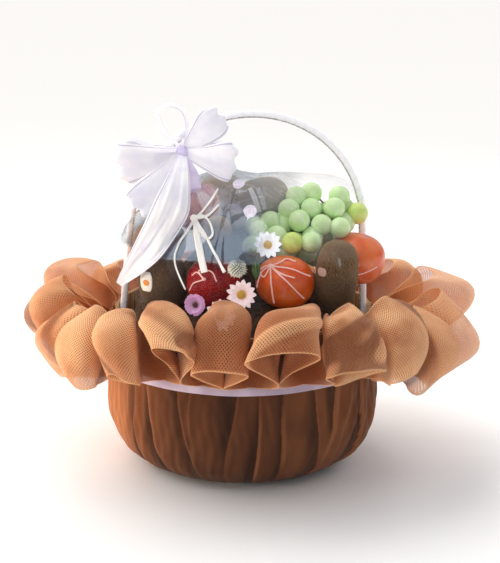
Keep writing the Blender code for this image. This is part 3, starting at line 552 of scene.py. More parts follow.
def ruffle_points(along, level):
    """The ruffle's strip at distances along it, counted in loops, and levels from -1, its lower edge, to 1.

    A loop swings out and back as half of one minus the cosine of its turn. Its angle runs evenly round the
    rim, with a second swing that narrows its neck. The strip's width points up, tipped outwards and sideways,
    is drawn together at the neck, and curls in towards the strip's edges, which close the loop to a puff."""
    loops = np.array(RUFFLE_LOOPS, float)
    count = len(loops)
    centres = np.degrees(np.unwrap(np.radians(loops[:, 0])))
    before = np.append(centres, centres[0] + 360)
    edges = np.concatenate([[(centres[-1] - 360 + centres[0]) / 2], (before[:-1] + before[1:]) / 2])
    loop = np.floor(along).astype(int) % count
    phase = TURN * (along - np.floor(along))
    knots = np.concatenate([np.arange(-1, count + 1) + 0.25, np.arange(-1, count + 1) + 0.75])
    order = np.argsort(knots)
    held = np.tile(np.concatenate([loops[-1:], loops, loops[:1]]), (2, 1))[order]
    reach, rise, foot_height, half, tip, lean, close = (
        np.interp(along % count, knots[order], held[:, column]) for column in range(1, 8)
    )
    tip, lean = np.radians(tip), np.radians(lean)
    out = (1 - np.cos(phase)) / 2
    curl = 1 - (0.15 + 0.55 * close) * level**2 + (0.08 - 0.2 * np.sin(tip)) * level
    width = np.diff(edges)[loop]
    shut = 1 - 0.55 * close * level**2 * np.minimum(1, 1.6 * out)
    from_middle = np.interp(along % count, np.arange(count + 1), edges) - before[loop]
    angle = before[loop] + shut * (from_middle + LOOP_OVERHANG * width * np.sin(2 * phase))
    drawn = half * (RUFFLE_PINCH + (1 - RUFFLE_PINCH) * np.sqrt(out))
    foot = RUFFLE_FOOT + half * RUFFLE_PINCH * np.sin(tip) * np.cos(lean)
    radius = foot + reach * curl * out - level * drawn * np.sin(tip) * np.cos(lean)
    aside = -level * drawn * np.sin(tip) * np.sin(lean)
    height = foot_height + rise * curl * out + level * drawn * np.cos(tip)
    angle = np.radians(angle) + aside / radius
    return about_axis(radius, angle, height)


def make_ruffle():
    """The ruffle's strip on a fine grid. Along its own normal it has small gathers near its foot, slack waves
    and a fluttering edge out in its loops, and slanting creases, each a ridge or a groove."""
    count = len(RUFFLE_LOOPS)
    columns, rows = LOOP_COLUMNS * count, RUFFLE_ROWS
    along = np.broadcast_to(np.arange(columns + 1)[None] / LOOP_COLUMNS, (rows, columns + 1))
    level = np.broadcast_to(np.linspace(-1, 1, rows)[:, None], (rows, columns + 1))
    grid = ruffle_points(along, level)
    flow = np.gradient(grid, axis=1)
    normal = unit(np.cross(flow, np.gradient(grid, axis=0)))
    out = (1 - np.cos(TURN * along)) / 2
    gathers = 0.9 * np.sin(TURN * along * 8 + 1.5 * level) * (1 - out) ** 2
    slack, creases = np.zeros((2, *out.shape))
    drift = np.random.default_rng(RUFFLE_SEED)
    for number, least, most in RUFFLE_WAVES:
        for turns, tip, start, depth in drift.uniform(least, most, (number, 4)):
            slack += depth * np.sin(TURN * along * round(turns * count) / count + tip * level + start)
    least, most = (0, -0.30, 0.03, -7.0), (count, 0.30, 0.07, 7.0)
    for at, slant, width, depth in drift.uniform(least, most, (RUFFLE_CREASES, 4)):
        away = (along - at - slant * level + count / 2) % count - count / 2
        creases += depth * np.exp(-((away / width) ** 2)) * out
    drop = out * (0.35 + 0.65 * level**2)
    flutter = np.sin(TURN * along * 3 + 2.2 * np.sin(TURN * along * 7 / count)) * np.abs(level) ** 3 * out
    shift = gathers + slack * drop + creases * (0.6 + 0.4 * level**2) + 2.0 * flutter
    grid = (grid + normal * shift[..., None])[:, :-1]
    middle = lengths(np.vstack([grid[rows // 2], grid[rows // 2][:1]]))
    flat = np.dstack([np.broadcast_to(middle[None], level.shape), level * RUFFLE_EDGE])
    parts = [patch(grid, True, flat=flat)]
    folds = creases[:, :-1]
    made = add_piece("ruffle_strip", parts, [ruffle_gauze()], ["gauze_ruffle"], 0.5, folds)


# Handle and film

HANDLE_RADIUS = 4.4
HANDLE_CENTRE = 4.0
HANDLE_HALF_SPAN = 144.0
HANDLE_LEAN = 8.0
HANDLE_SPRING = 290.0
HANDLE_RISE = 143.0
LEG_FOOT = (151.0, 182.0)
WINDING = 13.0

FILM_LIFT = 5.0
FILM_BASE = 197.0
FILM_CENTRE = 205.0
FILM_COLUMNS = 28
FILM_ROWS = 7
FILM_RIM = 162.0
FILM_FOLDS = 26
FILM_LEG_TOP = 306.0
CONTENTS = (
    "persimmon_front", "persimmon_right", "kiwi_left", "kiwi_right", "kiwi_top", "red_fruit", "rosy_fruit",
    "yellow_fruit", "golden_fruit", "dusky_fruit", "small_fruit", "grape_bunch", "daisy_white", "daisy_blush",
    "daisy_low", "lilac_flower", "rosette_upper", "rosette_lower", "leaf", "pompon", "fruit_ribbon",
    "twine_front", "twine_right", "twine_left", "label_left", "label_right",
)


def handle_path(steps=21):
    """The hoop's middle line: a half ellipse whose top leans to +X, over two straight legs."""
    turn = np.linspace(0, math.pi, steps)
    arch_x = HANDLE_CENTRE + HANDLE_HALF_SPAN * np.cos(turn) + HANDLE_LEAN * np.sin(turn)
    arch = np.stack([arch_x, 0 * turn, HANDLE_SPRING + HANDLE_RISE * np.sin(turn)], axis=-1)
    foot_x, foot_z = LEG_FOOT
    middle_z = (foot_z + HANDLE_SPRING) / 2
    right = [(foot_x, 0, foot_z), ((foot_x + arch_x[0]) / 2, 0, middle_z)]
    left = [((arch_x[-1] - foot_x) / 2, 0, middle_z), (-foot_x, 0, foot_z)]
    return np.vstack([right, arch, left])


def make_handle():
    """The hoop wound with ribbon: a bar whose radius climbs over each winding and drops to the next, with a
    silvery cord laid along its inner side."""
    path = resample(handle_path(), 720)
    far = lengths(path)
    sides = 20
    wound = (far[:, None] / WINDING + turns(sides)[None] / TURN) % 1
    radius = HANDLE_RADIUS - 0.4 + 0.25 * wound
    flat = np.dstack(np.meshgrid(np.arange(sides + 1) / sides, far / WINDING))
    bar = tube(path, radius, sides, flat, across=(0, 1, 0))
    heading = unit(np.gradient(path, axis=0))
    inward = np.cross(heading, (0, 1, 0))
    cord = path + inward * (HANDLE_RADIUS - 0.7) + np.array([0, -1.6, 0])
    cord = cord + 0.35 * np.sin(far * 1.9)[:, None] * (0, 1, 0)
    # Painted light: a faint glow on the white ribbon.
    ribbon_white = Finish("wound_ribbon", roughness=0.35, sheen_weight=0.2, emission_strength=0.12)
    ribbon_white.set(emission_color=tint(250, 249, 252))
    around, along = ribbon_white.flat()
    seam = ribbon_white.calc("PINGPONG", ribbon_white.calc("ADD", around, along), 0.5)
    seam = ribbon_white.step(seam, 0.0, 0.07)
    ribbon_white.set(base_color=ribbon_white.mix(seam, tint(222, 220, 226), tint(252, 251, 253)))
    ribbon_white.bump(ribbon_white.noise(900, 2), 0.1, 0.3)
    silver = Finish("silver_cord", roughness=0.4, metallic=0.2)
    glint = silver.noise(600, 2)
    silver.set(base_color=silver.mix(silver.step(glint, 0.4, 0.6), tint(150, 146, 152), tint(226, 222, 226)))
    parts = [bar, tube(cord, 1.3, 8, finish=1)]
    add_piece("handle_wound", parts, [ribbon_white.material, silver.material], ["handle"])


def film_finish():
    """Clear film as a faint mirror: stronger at a glancing view, with clouds of haze, and made stronger high
    up and on the left by place, which paints where it reflects. Painted reflections lie over it: a grey-blue
    patch low over the front left, a pale haze over the crown, and thin bright streaks down the front right."""
    finish = Finish("clear_film", metallic=1.0, roughness=0.07)
    x, y, z = finish.axes()
    edge = finish.node("LayerWeight", 0.35).outputs["Facing"]
    cloud = finish.noise(16.0, 3.0, finish.stretched((1.0, 1.0, 0.45)))
    mirror = finish.step(edge, 0.25, 1.0, 0.055, 0.42)
    haze = finish.step(cloud, 0.45, 0.75, 0.0, 0.09)
    # Painted reflection: the mirror is made stronger high up and on the left, by place.
    above = finish.step(z, 0.274, 0.284, 0.08, 1.0)
    aside = finish.step(x, 0.0, 0.06, 1.4, 0.32)
    share = finish.product(finish.calc("ADD", mirror, haze), finish.product(above, aside))
    # Painted reflection: a grey-blue patch low over the front left.
    front = finish.step(y, -0.05, -0.02, 1.0, 0.0)
    low = finish.product(finish.step(z, 0.276, 0.282), finish.step(z, 0.300, 0.335, 1.0, 0.0))
    painted_reflection_patch = finish.product(front, low, finish.step(x, 0.0, 0.035, 0.40, 0.0))
    # Painted reflection: a pale haze over the crown.
    crown = finish.product(finish.step(z, 0.318, 0.350, 0.0, 0.12), finish.step(x, 0.05, 0.08, 1.0, 0.0))
    # Painted highlights: thin bright streaks down the front right.
    fibres = finish.noise(62.0, 1.0, finish.stretched((1.0, 1.0, 0.12)))
    streaks = finish.product(
        finish.step(fibres, 0.62, 0.70, 0.0, 0.4),
        finish.step(x, 0.085, 0.105),
        finish.step(z, 0.280, 0.292, 1.0, 0.0),
        finish.step(y, -0.06, -0.03, 1.0, 0.0),
    )
    # All these painted reflections, and their colour: pale, and grey-blue in the patch.
    painted_reflections = finish.calc("ADD", finish.calc("ADD", painted_reflection_patch, crown), streaks)
    colour = finish.mix(finish.step(painted_reflection_patch, 0.0, 0.3), tint(236, 243, 250), tint(146, 155, 168))
    finish.set(base_color=colour, alpha=finish.calc("ADD", share, painted_reflections))
    finish.bump(finish.noise(60.0, 3.0, finish.stretched((1.0, 1.0, 0.3))), 0.9, 0.7)
    return finish.material


def make_film():
    """Film drawn tight over the fruit: the reach of the contents' convex outline from the basket's middle,
    and tension folds that run from the top down to the rim and fade over the crests."""
    turn = turns(FILM_COLUMNS)
    rim = about_axis(FILM_RIM, turn, FILM_BASE)
    legs = handle_path()
    legs = legs[legs[:, 2] < FILM_LEG_TOP]
    outer_leg = legs + np.sign(legs[:, :1]) * np.array([[HANDLE_RADIUS + 1.0, 0, 0]])
    inside = [np.array([v.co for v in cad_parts[name].data.vertices]) / MM for name in CONTENTS]
    work = bmesh.new()
    for point in np.vstack(inside + [rim, rim - (0, 0, 30), outer_leg]):
        work.verts.new(Vector(point) * MM)
    bmesh.ops.convex_hull(work, input=work.verts)
    tree = BVHTree.FromBMesh(work)
    work.free()
    half_turn, half_rise = math.pi / FILM_COLUMNS, math.pi / 4 / FILM_ROWS

    def reach(start, angle, rise):
        ray = Vector((math.cos(rise) * math.cos(angle), math.cos(rise) * math.sin(angle), math.sin(rise)))
        return tree.ray_cast(Vector((0, 0, start * MM)), ray)[3] / MM

    coarse = []
    steps = np.linspace(0, math.pi / 2, FILM_ROWS + 1)[:-1]
    for start, rise in [(FILM_BASE, 0.0)] + [(FILM_CENTRE, step) for step in steps]:
        rises = [rise] if rise == 0 else [rise - half_rise, rise, rise + half_rise]
        far = [max(reach(start, a + s, r) for s in (-half_turn, 0, half_turn) for r in rises) for a in turn]
        rays = about_axis(math.cos(rise), turn, math.sin(rise))
        coarse.append((0, 0, start) + rays * (np.array(far) + FILM_LIFT - 0.4)[:, None])
    coarse = np.array(coarse)
    top = coarse[-1].mean(axis=0)
    coarse = np.concatenate([coarse, top + (coarse[-1:] - top) * 0.35])
    rows, columns = 90, 300
    grid = refined(coarse, rows, columns, True)
    around = turns(columns)[None]
    share = np.linspace(0, 1, rows)[:, None]
    flow = np.gradient(np.concatenate([grid, grid[:, :1]], 1), axis=1)[:, :-1]
    normal = unit(np.cross(flow, np.gradient(grid, axis=0)))
    ease = np.sin(math.pi * np.clip(share * 1.05, 0, 1)) ** 0.6
    folds = np.zeros((rows, columns))
    for _ in range(FILM_FOLDS):
        at, width, depth, lean = draw.uniform((0, 0.012, 0.5, -0.5), (TURN, 0.045, 1.9, 0.5))
        away = (around - at - lean * (share - 0.4) + math.pi) % TURN - math.pi
        run = np.sin(math.pi * (share * draw.uniform(0.7, 1.2) + 0.1)).clip(0, 1)
        folds += depth * np.exp(-((away / width) ** 2)) * run
    gathers = 1.5 * np.sin(60 * around + 2 * np.sin(7 * around)) * np.exp(-share / 0.05)
    grid = grid + normal * (folds * ease + gathers - 0.6)[..., None]
    parts = [patch(grid, True, (None, grid[-1].mean(axis=0)))]
    made = add_piece("film_skin", parts, [film_finish()], ["film_cover"], 0.25)
    return made


# Fruit

def fruit_patch(shape, lobes=0.0, uneven=0.0, rings=40, columns=64):
    """A turned fruit about the origin: a rounded outline of a given squareness, with a dimple at each end and
    a narrower top, then gently lobed and uneven round its middle."""
    half_width, half_height, square, top_dimple, foot_dimple, taper = shape
    lift = np.linspace(-math.pi / 2, math.pi / 2, rings + 2)[:, None]
    turn = turns(columns)[None]
    radius = half_width * np.abs(np.cos(lift)) ** (2 / square) * (1 - taper * np.sin(lift))
    height = half_height * np.sign(np.sin(lift)) * np.abs(np.sin(lift)) ** (2 / square)
    near_end = np.exp(-((radius / (0.32 * half_width)) ** 2))
    height = height - near_end * np.where(lift > 0, top_dimple, -foot_dimple)
    swell = 1 + lobes * np.cos(4 * turn + 0.5) * np.cos(lift) ** 2
    swell = swell + uneven * (np.sin(2 * turn + half_width) + np.sin(3 * turn + 1.7 * lift)) * np.cos(lift)
    radius = radius * swell
    grid = about_axis(radius, turn, height)
    return patch(grid[1:-1], True, (grid[0, 0], grid[-1, 0]))


def skin(name, base, second, rough, patches=40.0, speck=None, coat=0.0, bump=0.25, pores=700.0, **sockets):
    """A fruit's skin: two tones in soft patches, small specks of a third, and fine pores."""
    finish = Finish(name, roughness=rough, coat_weight=coat, coat_roughness=0.15, **sockets)
    colour = finish.mix(finish.step(finish.noise(patches, 4.0), 0.35, 0.68), base, second)
    if speck:
        spots = finish.node("TexVoronoi", finish.place(), feature="F1")
        spots.inputs["Scale"].default_value = 420.0
        colour = finish.mix(finish.step(spots.outputs["Distance"], 0.12, 0.24, 0.75, 0.0), colour, speck)
    finish.set(base_color=colour)
    finish.bump(finish.noise(pores, 3.0), bump, 0.5)
    return finish.material


def kiwi_skin():
    """Brown skin under short dense hair: fine fibres along the fruit, a pale sheen, and a foot darkened by
    painted shade. The fruit on top is paler, most of all to the right: a painted reflection of the film."""
    finish = Finish("kiwi_skin", roughness=0.8, sheen_weight=0.18, sheen_roughness=0.6)
    finish.set(sheen_tint=tint(190, 165, 130))
    x, _, height = finish.axes()
    fibres = finish.noise(1500.0, 3.0, finish.stretched((1.0, 1.0, 0.25)))
    patches = finish.noise(55.0, 4.0)
    brown = finish.mix(finish.step(patches, 0.35, 0.65), tint(78, 53, 30), tint(98, 72, 43))
    hairy = finish.mix(finish.step(fibres, 0.45, 0.62), brown, tint(130, 100, 64))
    # Painted shade: darker towards the foot.
    hairy = finish.mix(finish.step(height, 0.225, 0.275, 0.6, 0.0), hairy, tint(48, 32, 18))
    # Painted reflection of the film: the fruit on top is paler, most of all to the right.
    painted_film_reflection = finish.mix(finish.step(x, 0.0, 0.045, 0.25, 0.6), hairy, tint(206, 196, 180))
    finish.set(base_color=finish.mix(finish.step(height, 0.298, 0.304), hairy, painted_film_reflection))
    finish.bump(fibres, 0.5, 0.8)
    return finish.material


def rosy_skin():
    """Rosy skin: red streaks that run from end to end over a paler ground."""
    finish = Finish("rosy_skin", roughness=0.28, coat_weight=0.3, coat_roughness=0.1)
    across, along = finish.flat()
    line = finish.node("CombineXYZ", finish.product(across, 34.0), finish.product(along, 2.2), 0.0)
    streaks = finish.noise(1.0, 4.0, line.outputs[0], 0.65)
    patches = finish.noise(38.0, 3.0)
    ground = finish.mix(finish.step(patches, 0.35, 0.65), tint(226, 150, 120), tint(214, 104, 96))
    finish.set(base_color=finish.mix(finish.step(streaks, 0.42, 0.62), ground, tint(176, 44, 48)))
    finish.bump(finish.noise(500.0), 0.1, 0.3)
    return finish.material


# Each fruit: its skin, centre, tilt in degrees, shape as fruit_patch takes it, lobes and unevenness.
FRUIT = {
    "persimmon_front": ("persimmon", (50, -94, 246), (8, 4, 0), (34, 30, 2.3, 3, 4, 0), 0.025, 0.006),
    "persimmon_right": ("persimmon", (138, -39, 262), (0, 12, 0), (34, 31, 2.3, 3, 4, 0), 0.025, 0.006),
    "kiwi_left": ("kiwi", (-96, -72, 244), (4, -8, 0), (30, 37, 2.5, 0, 0, 0.03), 0, 0.01),
    "kiwi_right": ("kiwi", (111, -94, 256), (6, 3, 0), (25, 40, 2.9, 0, 0, 0.03), 0, 0.01),
    "kiwi_top": ("kiwi", (25, 6, 329), (0, 82, 8), (24.5, 32, 2.4, 0, 0, 0), 0, 0.01),
    "red_fruit": ("red", (-34, -94, 245), (10, 0, 0), (32, 30, 2.2, 5, 5, 0), 0.01, 0.006),
    "rosy_fruit": ("rosy", (-57, -18, 322), (6, -10, 0), (30, 29, 2.1, 5, 4, 0), 0.01, 0.008),
    "yellow_fruit": ("yellow", (-103, -13, 276), (0, -20, 0), (33, 31, 2.1, 4, 4, 0), 0.01, 0.006),
    "golden_fruit": ("golden", (-27, 36, 326), (0, 0, 0), (30, 29, 2.1, 4, 4, 0), 0, 0.008),
    "dusky_fruit": ("dusky", (-10, -19, 309), (0, 0, 0), (15.5, 17, 2.0, 1, 1, 0), 0, 0.01),
    "small_fruit": ("golden", (-30, -55, 301), (0, 0, 0), (17, 17, 2.0, 1, 1, 0), 0, 0.01),
}


def make_fruit():
    """Each fruit of FRUIT as its turned shape, tilted and moved to its place. It gives the pieces by name."""
    skins = {
        "persimmon": (tint(222, 82, 18), tint(236, 114, 36), 0.28, 30.0, tint(178, 76, 32), 0.35),
        "red": (tint(124, 14, 18), tint(160, 26, 26), 0.26, 34.0, tint(200, 110, 80), 0.0, 0.1),
        "yellow": (tint(228, 150, 62), tint(236, 178, 84), 0.4, 36.0, tint(170, 110, 60)),
        "golden": (tint(150, 118, 62), tint(178, 140, 78), 0.55, 48.0, tint(110, 80, 44)),
        "dusky": (tint(86, 66, 84), tint(122, 116, 134), 0.45, 60.0, None, 0.1),
    }
    sockets = {"red": {"specular_ior_level": 0.2}}
    finishes = {kind: skin(kind + "_skin", *look, **sockets.get(kind, {})) for kind, look in skins.items()}
    finishes["kiwi"] = kiwi_skin()
    finishes["rosy"] = rosy_skin()
    made = {}
    for name, (kind, centre, tilt, shape, lobes, uneven) in FRUIT.items():
        part = moved(fruit_patch(shape, lobes, uneven), centre, tilt)
        made[name] = add_piece(name + "_skin", [part], [finishes[kind]], [name])
    return made


GRAPE_RADIUS = 12.6
# Centres of the grapes that show, and of those that fill the gaps between them.
GRAPES_IN_FRONT = (
    (65, -13, 333), (84, -6, 336), (56, -26, 320), (83, -24, 320), (68, -42, 309), (95, -44, 304),
    (59, -66, 287), (82, -64, 287), (118, -10, 333), (111, -26, 321), (140, -17, 313), (117, -46, 301),
    (34, -34, 306), (20, -44, 297), (12, -58, 281), (41, -56, 293),
)
GRAPES_BETWEEN = ((99, -20, 284), (16, -14, 296), (124, -20, 302), (48, -30, 302))
BRIGHT_GRAPES = (6, 10)
# Centre and half axes of each dark core, round which the other grapes sit.
GRAPE_CORES = (
    ((76, -16, 292), (36, 29, 34)), ((28, -50, 281), (28, 14, 19)), ((112, -15, 309), (22, 18, 13)),
)
GRAPES_PER_CORE = (44, 18, 16)
GRAPES_BACK = 14.0
GRAPE_GAP = 0.4
GRAPE_SPACING = 1.42 * GRAPE_RADIUS
GRAPE_SWELL = 1.05


def grape_places():
    """Centres and radii of the grapes: those in front at their own places, then even spirals over each core,
    without those that cross other fruit or grapes."""
    trees = [tree_of(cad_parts[name]) for name in (*FRUIT, "handle")]
    taken = [np.array(spot, float) for spot in (*GRAPES_IN_FRONT, *GRAPES_BETWEEN)]
    radii = [GRAPE_RADIUS] * len(taken)
    for (centre, axes), count in zip(GRAPE_CORES, GRAPES_PER_CORE):
        for step, ray in enumerate(spiral(count)):
            spot = np.array(centre) + ray * (np.array(axes) + 1.0)
            radius = GRAPE_RADIUS * (1 + 0.05 * math.sin(2.3 * step))
            crowded = any(np.linalg.norm(spot - other) < GRAPE_SPACING for other in taken)
            if spot[1] > GRAPES_BACK or crowded:
                continue
            crossing = False
            for tree in trees:
                place_on, normal, _, distance = tree.find_nearest(Vector(spot) * MM)
                inside = (Vector(spot) * MM - place_on).dot(normal) < 0
                crossing = crossing or inside or distance < (radius * 1.02 + GRAPE_GAP) * MM
            if not crossing:
                taken.append(spot)
                radii.append(radius)
    return taken, radii


def grape_skin(name, base, second):
    """Clear green skin that lets light through, with a bloom of a second tone."""
    finish = Finish(name, roughness=0.22, subsurface_weight=0.35, coat_weight=0.2, coat_roughness=0.1)
    finish.set(subsurface_radius=(0.6, 1.0, 0.3), subsurface_scale=0.006)
    bloom = finish.noise(90.0, 3.0)
    finish.set(base_color=finish.mix(finish.step(bloom, 0.35, 0.7), base, second))
    finish.bump(finish.noise(400.0), 0.08, 0.3)
    return finish.material


def make_grapes():
    """Grapes as slightly long ellipsoids on their stalks, over a dark core, in two greens."""
    centres, radii = grape_places()
    parts = []
    for number, (centre, radius) in enumerate(zip(centres, radii)):
        stretch = draw.uniform(0.97, 1.05)
        green = 0 if number in BRIGHT_GRAPES else 1
        grape = ball(np.zeros(3), np.array([1, 1, stretch]) * radius * GRAPE_SWELL, 12, 20, green)
        parts.append(moved(grape, centre, draw.uniform(-40, 40, 3)))
        core = min(GRAPE_CORES, key=lambda one: np.linalg.norm(np.array(one[0]) - centre))[0]
        inner = centre + (np.array(core) - centre) * 0.75
        stalk = resample([centre, (centre + inner) / 2 + (1, 0, 2), inner], 7)
        parts.append(tube(stalk, 1.2, 6, finish=2))
    for centre, axes in GRAPE_CORES:
        parts.append(ball(np.array(centre, float), np.array(axes) * 0.72, 10, 16, 2))
    greens = [grape_skin("bright_grape", tint(228, 242, 140), tint(206, 228, 118))]
    greens.append(grape_skin("pale_grape", tint(212, 242, 176), tint(228, 252, 200)))
    greens.append(skin("grape_stalk", tint(88, 96, 44), tint(112, 92, 48), 0.7))
    add_piece("grapes", parts, greens, ["grape_bunch"])


# Packing

PACKING_FOOT = 150.0


def make_packing():
    """Crumpled dark paper on the heap that its solid gives, creased by waves that cross one another."""
    tree = tree_of(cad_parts["packing"])
    radius = np.linspace(4, 150, 14)
    turn = turns(36)
    coarse = np.zeros((len(radius), len(turn), 3))
    for row, far in enumerate(radius):
        for column, angle in enumerate(turn):
            start = Vector((far * math.cos(angle), far * math.sin(angle), OUTSIDE)) * MM
            coarse[row, column] = np.array(tree.ray_cast(start, Vector((0, 0, -1)))[0]) / MM
    grid = refined(coarse[::-1], 90, 216, True)
    x, y = grid[..., 0], grid[..., 1]
    creases = np.abs(np.sin(x / 7 + 2 * np.sin(y / 11))) + np.abs(np.sin(y / 6 + 2 * np.sin(x / 13)))
    grid[..., 2] += 1.6 * creases - 3.0
    grid = np.concatenate([grid[:1] * (1, 1, 0) + (0, 0, PACKING_FOOT), grid])
    finish = Finish("packing_paper", roughness=0.9)
    tone = finish.step(finish.noise(120.0, 4.0), 0.3, 0.7)
    finish.set(base_color=finish.mix(tone, tint(44, 32, 24), tint(84, 62, 44)))
    finish.bump(finish.noise(300.0, 4.0), 0.8, 0.8)
    parts = [patch(grid, True, ((0, 0, PACKING_FOOT), grid[-1].mean(axis=0)))]
    add_piece("packing_crumple", parts, [finish.material], ["packing"])


# Flowers, leaf, twine and labels

def flower_parts(radius, petals, layers, disc_radius, disc_height, cup, slim=0.42, notch=0.0):
    """A flower facing +Z: rings of petals, each a blade that widens over its length, cups up and curls at its
    edges, round a domed and knobbly disc. Petals are the first finish and the disc the second."""
    along = np.linspace(0, 1, 9)[:, None]
    across = np.linspace(-1, 1, 7)[None]
    parts = []
    for layer in range(layers):
        for petal in range(petals):
            angle = TURN * (petal + 0.5 * layer + draw.uniform(-0.12, 0.12)) / petals
            long = radius * (1 - 0.22 * layer) * draw.uniform(0.92, 1.0)
            start = 0.6 * disc_radius
            half = slim * long * np.sin(math.pi * (0.08 + 0.86 * along)) ** 0.55 * (TURN / petals)
            tip = 1 - notch * (1 - across**2) * along**6 - 0.10 * across**2 * along**3
            far = start + (long - start) * along * tip
            side = half * across
            rise = (cup + 1.4 * layer) * along**1.6 + 0.5 * across**2 * along + 0.7 * layer
            rise = rise + draw.uniform(-0.6, 0.6) * along
            x = far * math.cos(angle) - side * math.sin(angle)
            y = far * math.sin(angle) + side * math.cos(angle)
            parts.append(patch(np.dstack([x, y, rise])))
    lift = np.linspace(0.12, math.pi / 2, 9)[:-1, None]
    turn = turns(24)[None]
    knobs = 1 + 0.05 * np.sin(12 * turn + 9 * lift) * np.cos(lift)
    dome = about_axis(disc_radius * np.cos(lift) * knobs, turn, disc_height * np.sin(lift) * knobs + 0.6)
    parts.append(patch(dome, True, (None, (0, 0, disc_height + 0.6)), finish=1))
    return parts


def petal_finish(name, tip, base, vein):
    """A petal: one colour at its tip runs into another at its base, with fine lengthwise veins. It glows
    faintly
    with its tip colour: painted light.
    """
    finish = Finish(name, roughness=0.6, subsurface_weight=0.1, subsurface_scale=0.003)
    # Painted light: a faint glow of the tip colour.
    finish.set(emission_color=tip, emission_strength=0.3)
    across, along = finish.flat()
    line = finish.calc("PINGPONG", across, 0.07)
    ground = finish.mix(finish.step(along, 0.05, 0.65), base, tip)
    finish.set(base_color=finish.mix(finish.step(line, 0.0, 0.03, 0.35, 0.0), ground, vein))
    finish.bump(line, 0.3, 0.4)
    return finish.material


def make_flowers():
    """Six flowers of petals round a disc, each at its centre and facing its way, then leaf and pompon."""
    white = petal_finish("white_petal", tint(248, 249, 252), tint(226, 226, 232), tint(206, 206, 218))
    blush = petal_finish("blush_petal", tint(244, 226, 226), tint(236, 186, 190), tint(226, 180, 186))
    lilac = petal_finish("lilac_petal", tint(206, 160, 198), tint(150, 92, 134), tint(140, 84, 130))
    linen = petal_finish("rosette_ribbon", tint(246, 240, 248), tint(214, 198, 216), tint(220, 208, 226))
    discs = (
        ("flower_disc", tint(222, 170, 62), tint(240, 200, 92)),
        ("dark_disc", tint(150, 110, 70), tint(96, 58, 70)),
    )
    yolk, plum = (skin(*tones, 0.7, 300.0, None, 0, 0.5, 1500.0) for tones in discs)
    beds = {
        "daisy_white": (
            white, yolk, "white_petal", (29, -119, 296), (0.1, -1, 0.45), (17, 12, 2, 5, 3, 2.5, 0.40, 0.0)
        ),
        "daisy_blush": (
            blush, yolk, "blush_petal", (-1, -131, 240), (0.0, -1, 0.25), (18, 13, 2, 5.5, 3, 2.5, 0.40, 0.0)
        ),
        "daisy_low": (
            blush, yolk, "blush_petal", (-25, -139, 217), (-0.2, -1, 0.2), (19.5, 12, 2, 5.5, 3, 3, 0.40, 0.0)
        ),
        "lilac_flower": (
            lilac, plum, "lilac_petal", (-54, -131, 228), (-0.3, -1, 0.2), (14.5, 9, 2, 3.5, 3, 4, 0.5, 0.15)
        ),
        "rosette_upper": (
            linen, linen, "white_ribbon", (-5, -22, 349), (-0.1, -0.6, 0.8), (7.6, 6, 3, 2.4, 2.4, 2, 0.6, 0)
        ),
        "rosette_lower": (
            linen, linen, "white_ribbon", (9, -50, 322), (0, -1, 0.4), (8.4, 6, 3, 2.8, 2.6, 2, 0.6, 0)
        ),
    }
    for name, (petal, disc, slot, centre, facing, shape) in beds.items():
        parts = [moved(part, centre, facing=facing) for part in flower_parts(*shape)]
        add_piece(name + "_bloom", parts, [petal, disc], [name], 0.35)
    make_leaf()
    make_pompon()


def make_leaf():
    """A leaf: a pointed oval that waves along its length and folds up at its midrib, with side veins."""
    along = np.linspace(0, 1, 28)[:, None]
    across = np.linspace(-1, 1, 15)[None]
    half = 5.2 * np.sin(math.pi * (0.03 + 0.95 * along)) ** 0.8
    x = half * across * (1 + 0.04 * np.sin(34 * along) * np.abs(across))
    rise = 1.2 * np.sin(4 * along) + 1.4 * np.abs(across) ** 1.5
    rise = rise + 0.25 * np.cos(40 * (along - 0.35 * np.abs(across)))
    grid = np.dstack([x, (along - 0.5) * 26 + 0 * across, rise])
    finish = Finish("leaf_green", roughness=0.5, coat_weight=0.1)
    side = finish.flat()[0]
    rib = finish.step(finish.calc("ABSOLUTE", finish.calc("SUBTRACT", side, 0.5)), 0.01, 0.05, 1.0, 0.0)
    tone = finish.step(finish.noise(150.0), 0.3, 0.7)
    green = finish.mix(tone, tint(52, 84, 34), tint(92, 122, 58))
    finish.set(base_color=finish.mix(rib, green, tint(150, 170, 110)))
    part = moved(patch(grid), (15, -121, 269), facing=(0.3, -1, 0.2))
    add_piece("leaf_blade", [part], [finish.material], ["leaf"], 0.4)


def make_pompon():
    """A round flower head of pointed florets: thin cones on an even spiral over a ball."""
    count, centre = 130, (-6, -122, 269)
    ray = spiral(count)
    side = unit(np.cross(ray, (0.31, 0.42, 0.85)))
    ring = circles(turns(5), side, np.cross(ray, side))
    long = draw.uniform(10.6, 13.2, count)[:, None]
    bent = unit(ray + draw.uniform(-0.12, 0.12, (count, 3)))
    levels = [(5.5, 0.9), (8.2, 1.45), (10.0, 0.9)]
    parts = []
    for floret in range(count):
        rows = np.array([ray[floret] * far + ring[floret] * wide for far, wide in levels])
        parts.append(moved(patch(rows, True, (None, bent[floret] * long[floret])), centre))
    parts.append(ball(np.array(centre, float), np.full(3, 6.4)))
    finish = Finish("lime_floret", roughness=0.7)
    down = finish.flat()[1]
    finish.set(base_color=finish.mix(finish.step(down, 0.3, 0.85), tint(44, 78, 22), tint(250, 252, 240)))
    add_piece("pompon_head", parts, [finish.material], ["pompon"])


TWINE_KNOT = (33, 269)
TWINE_SIDES = 8
TWIST_LENGTH = 3.2


def twine_line(tree, route, radius, steps=10):
    """A cord laid on a fruit along places seen from the front, smoothed to many points."""
    line = [cast(tree, x, z) for x, z in resample(route, steps)]
    return resample([point + normal * (radius + 0.25) for point, normal in line], 70)


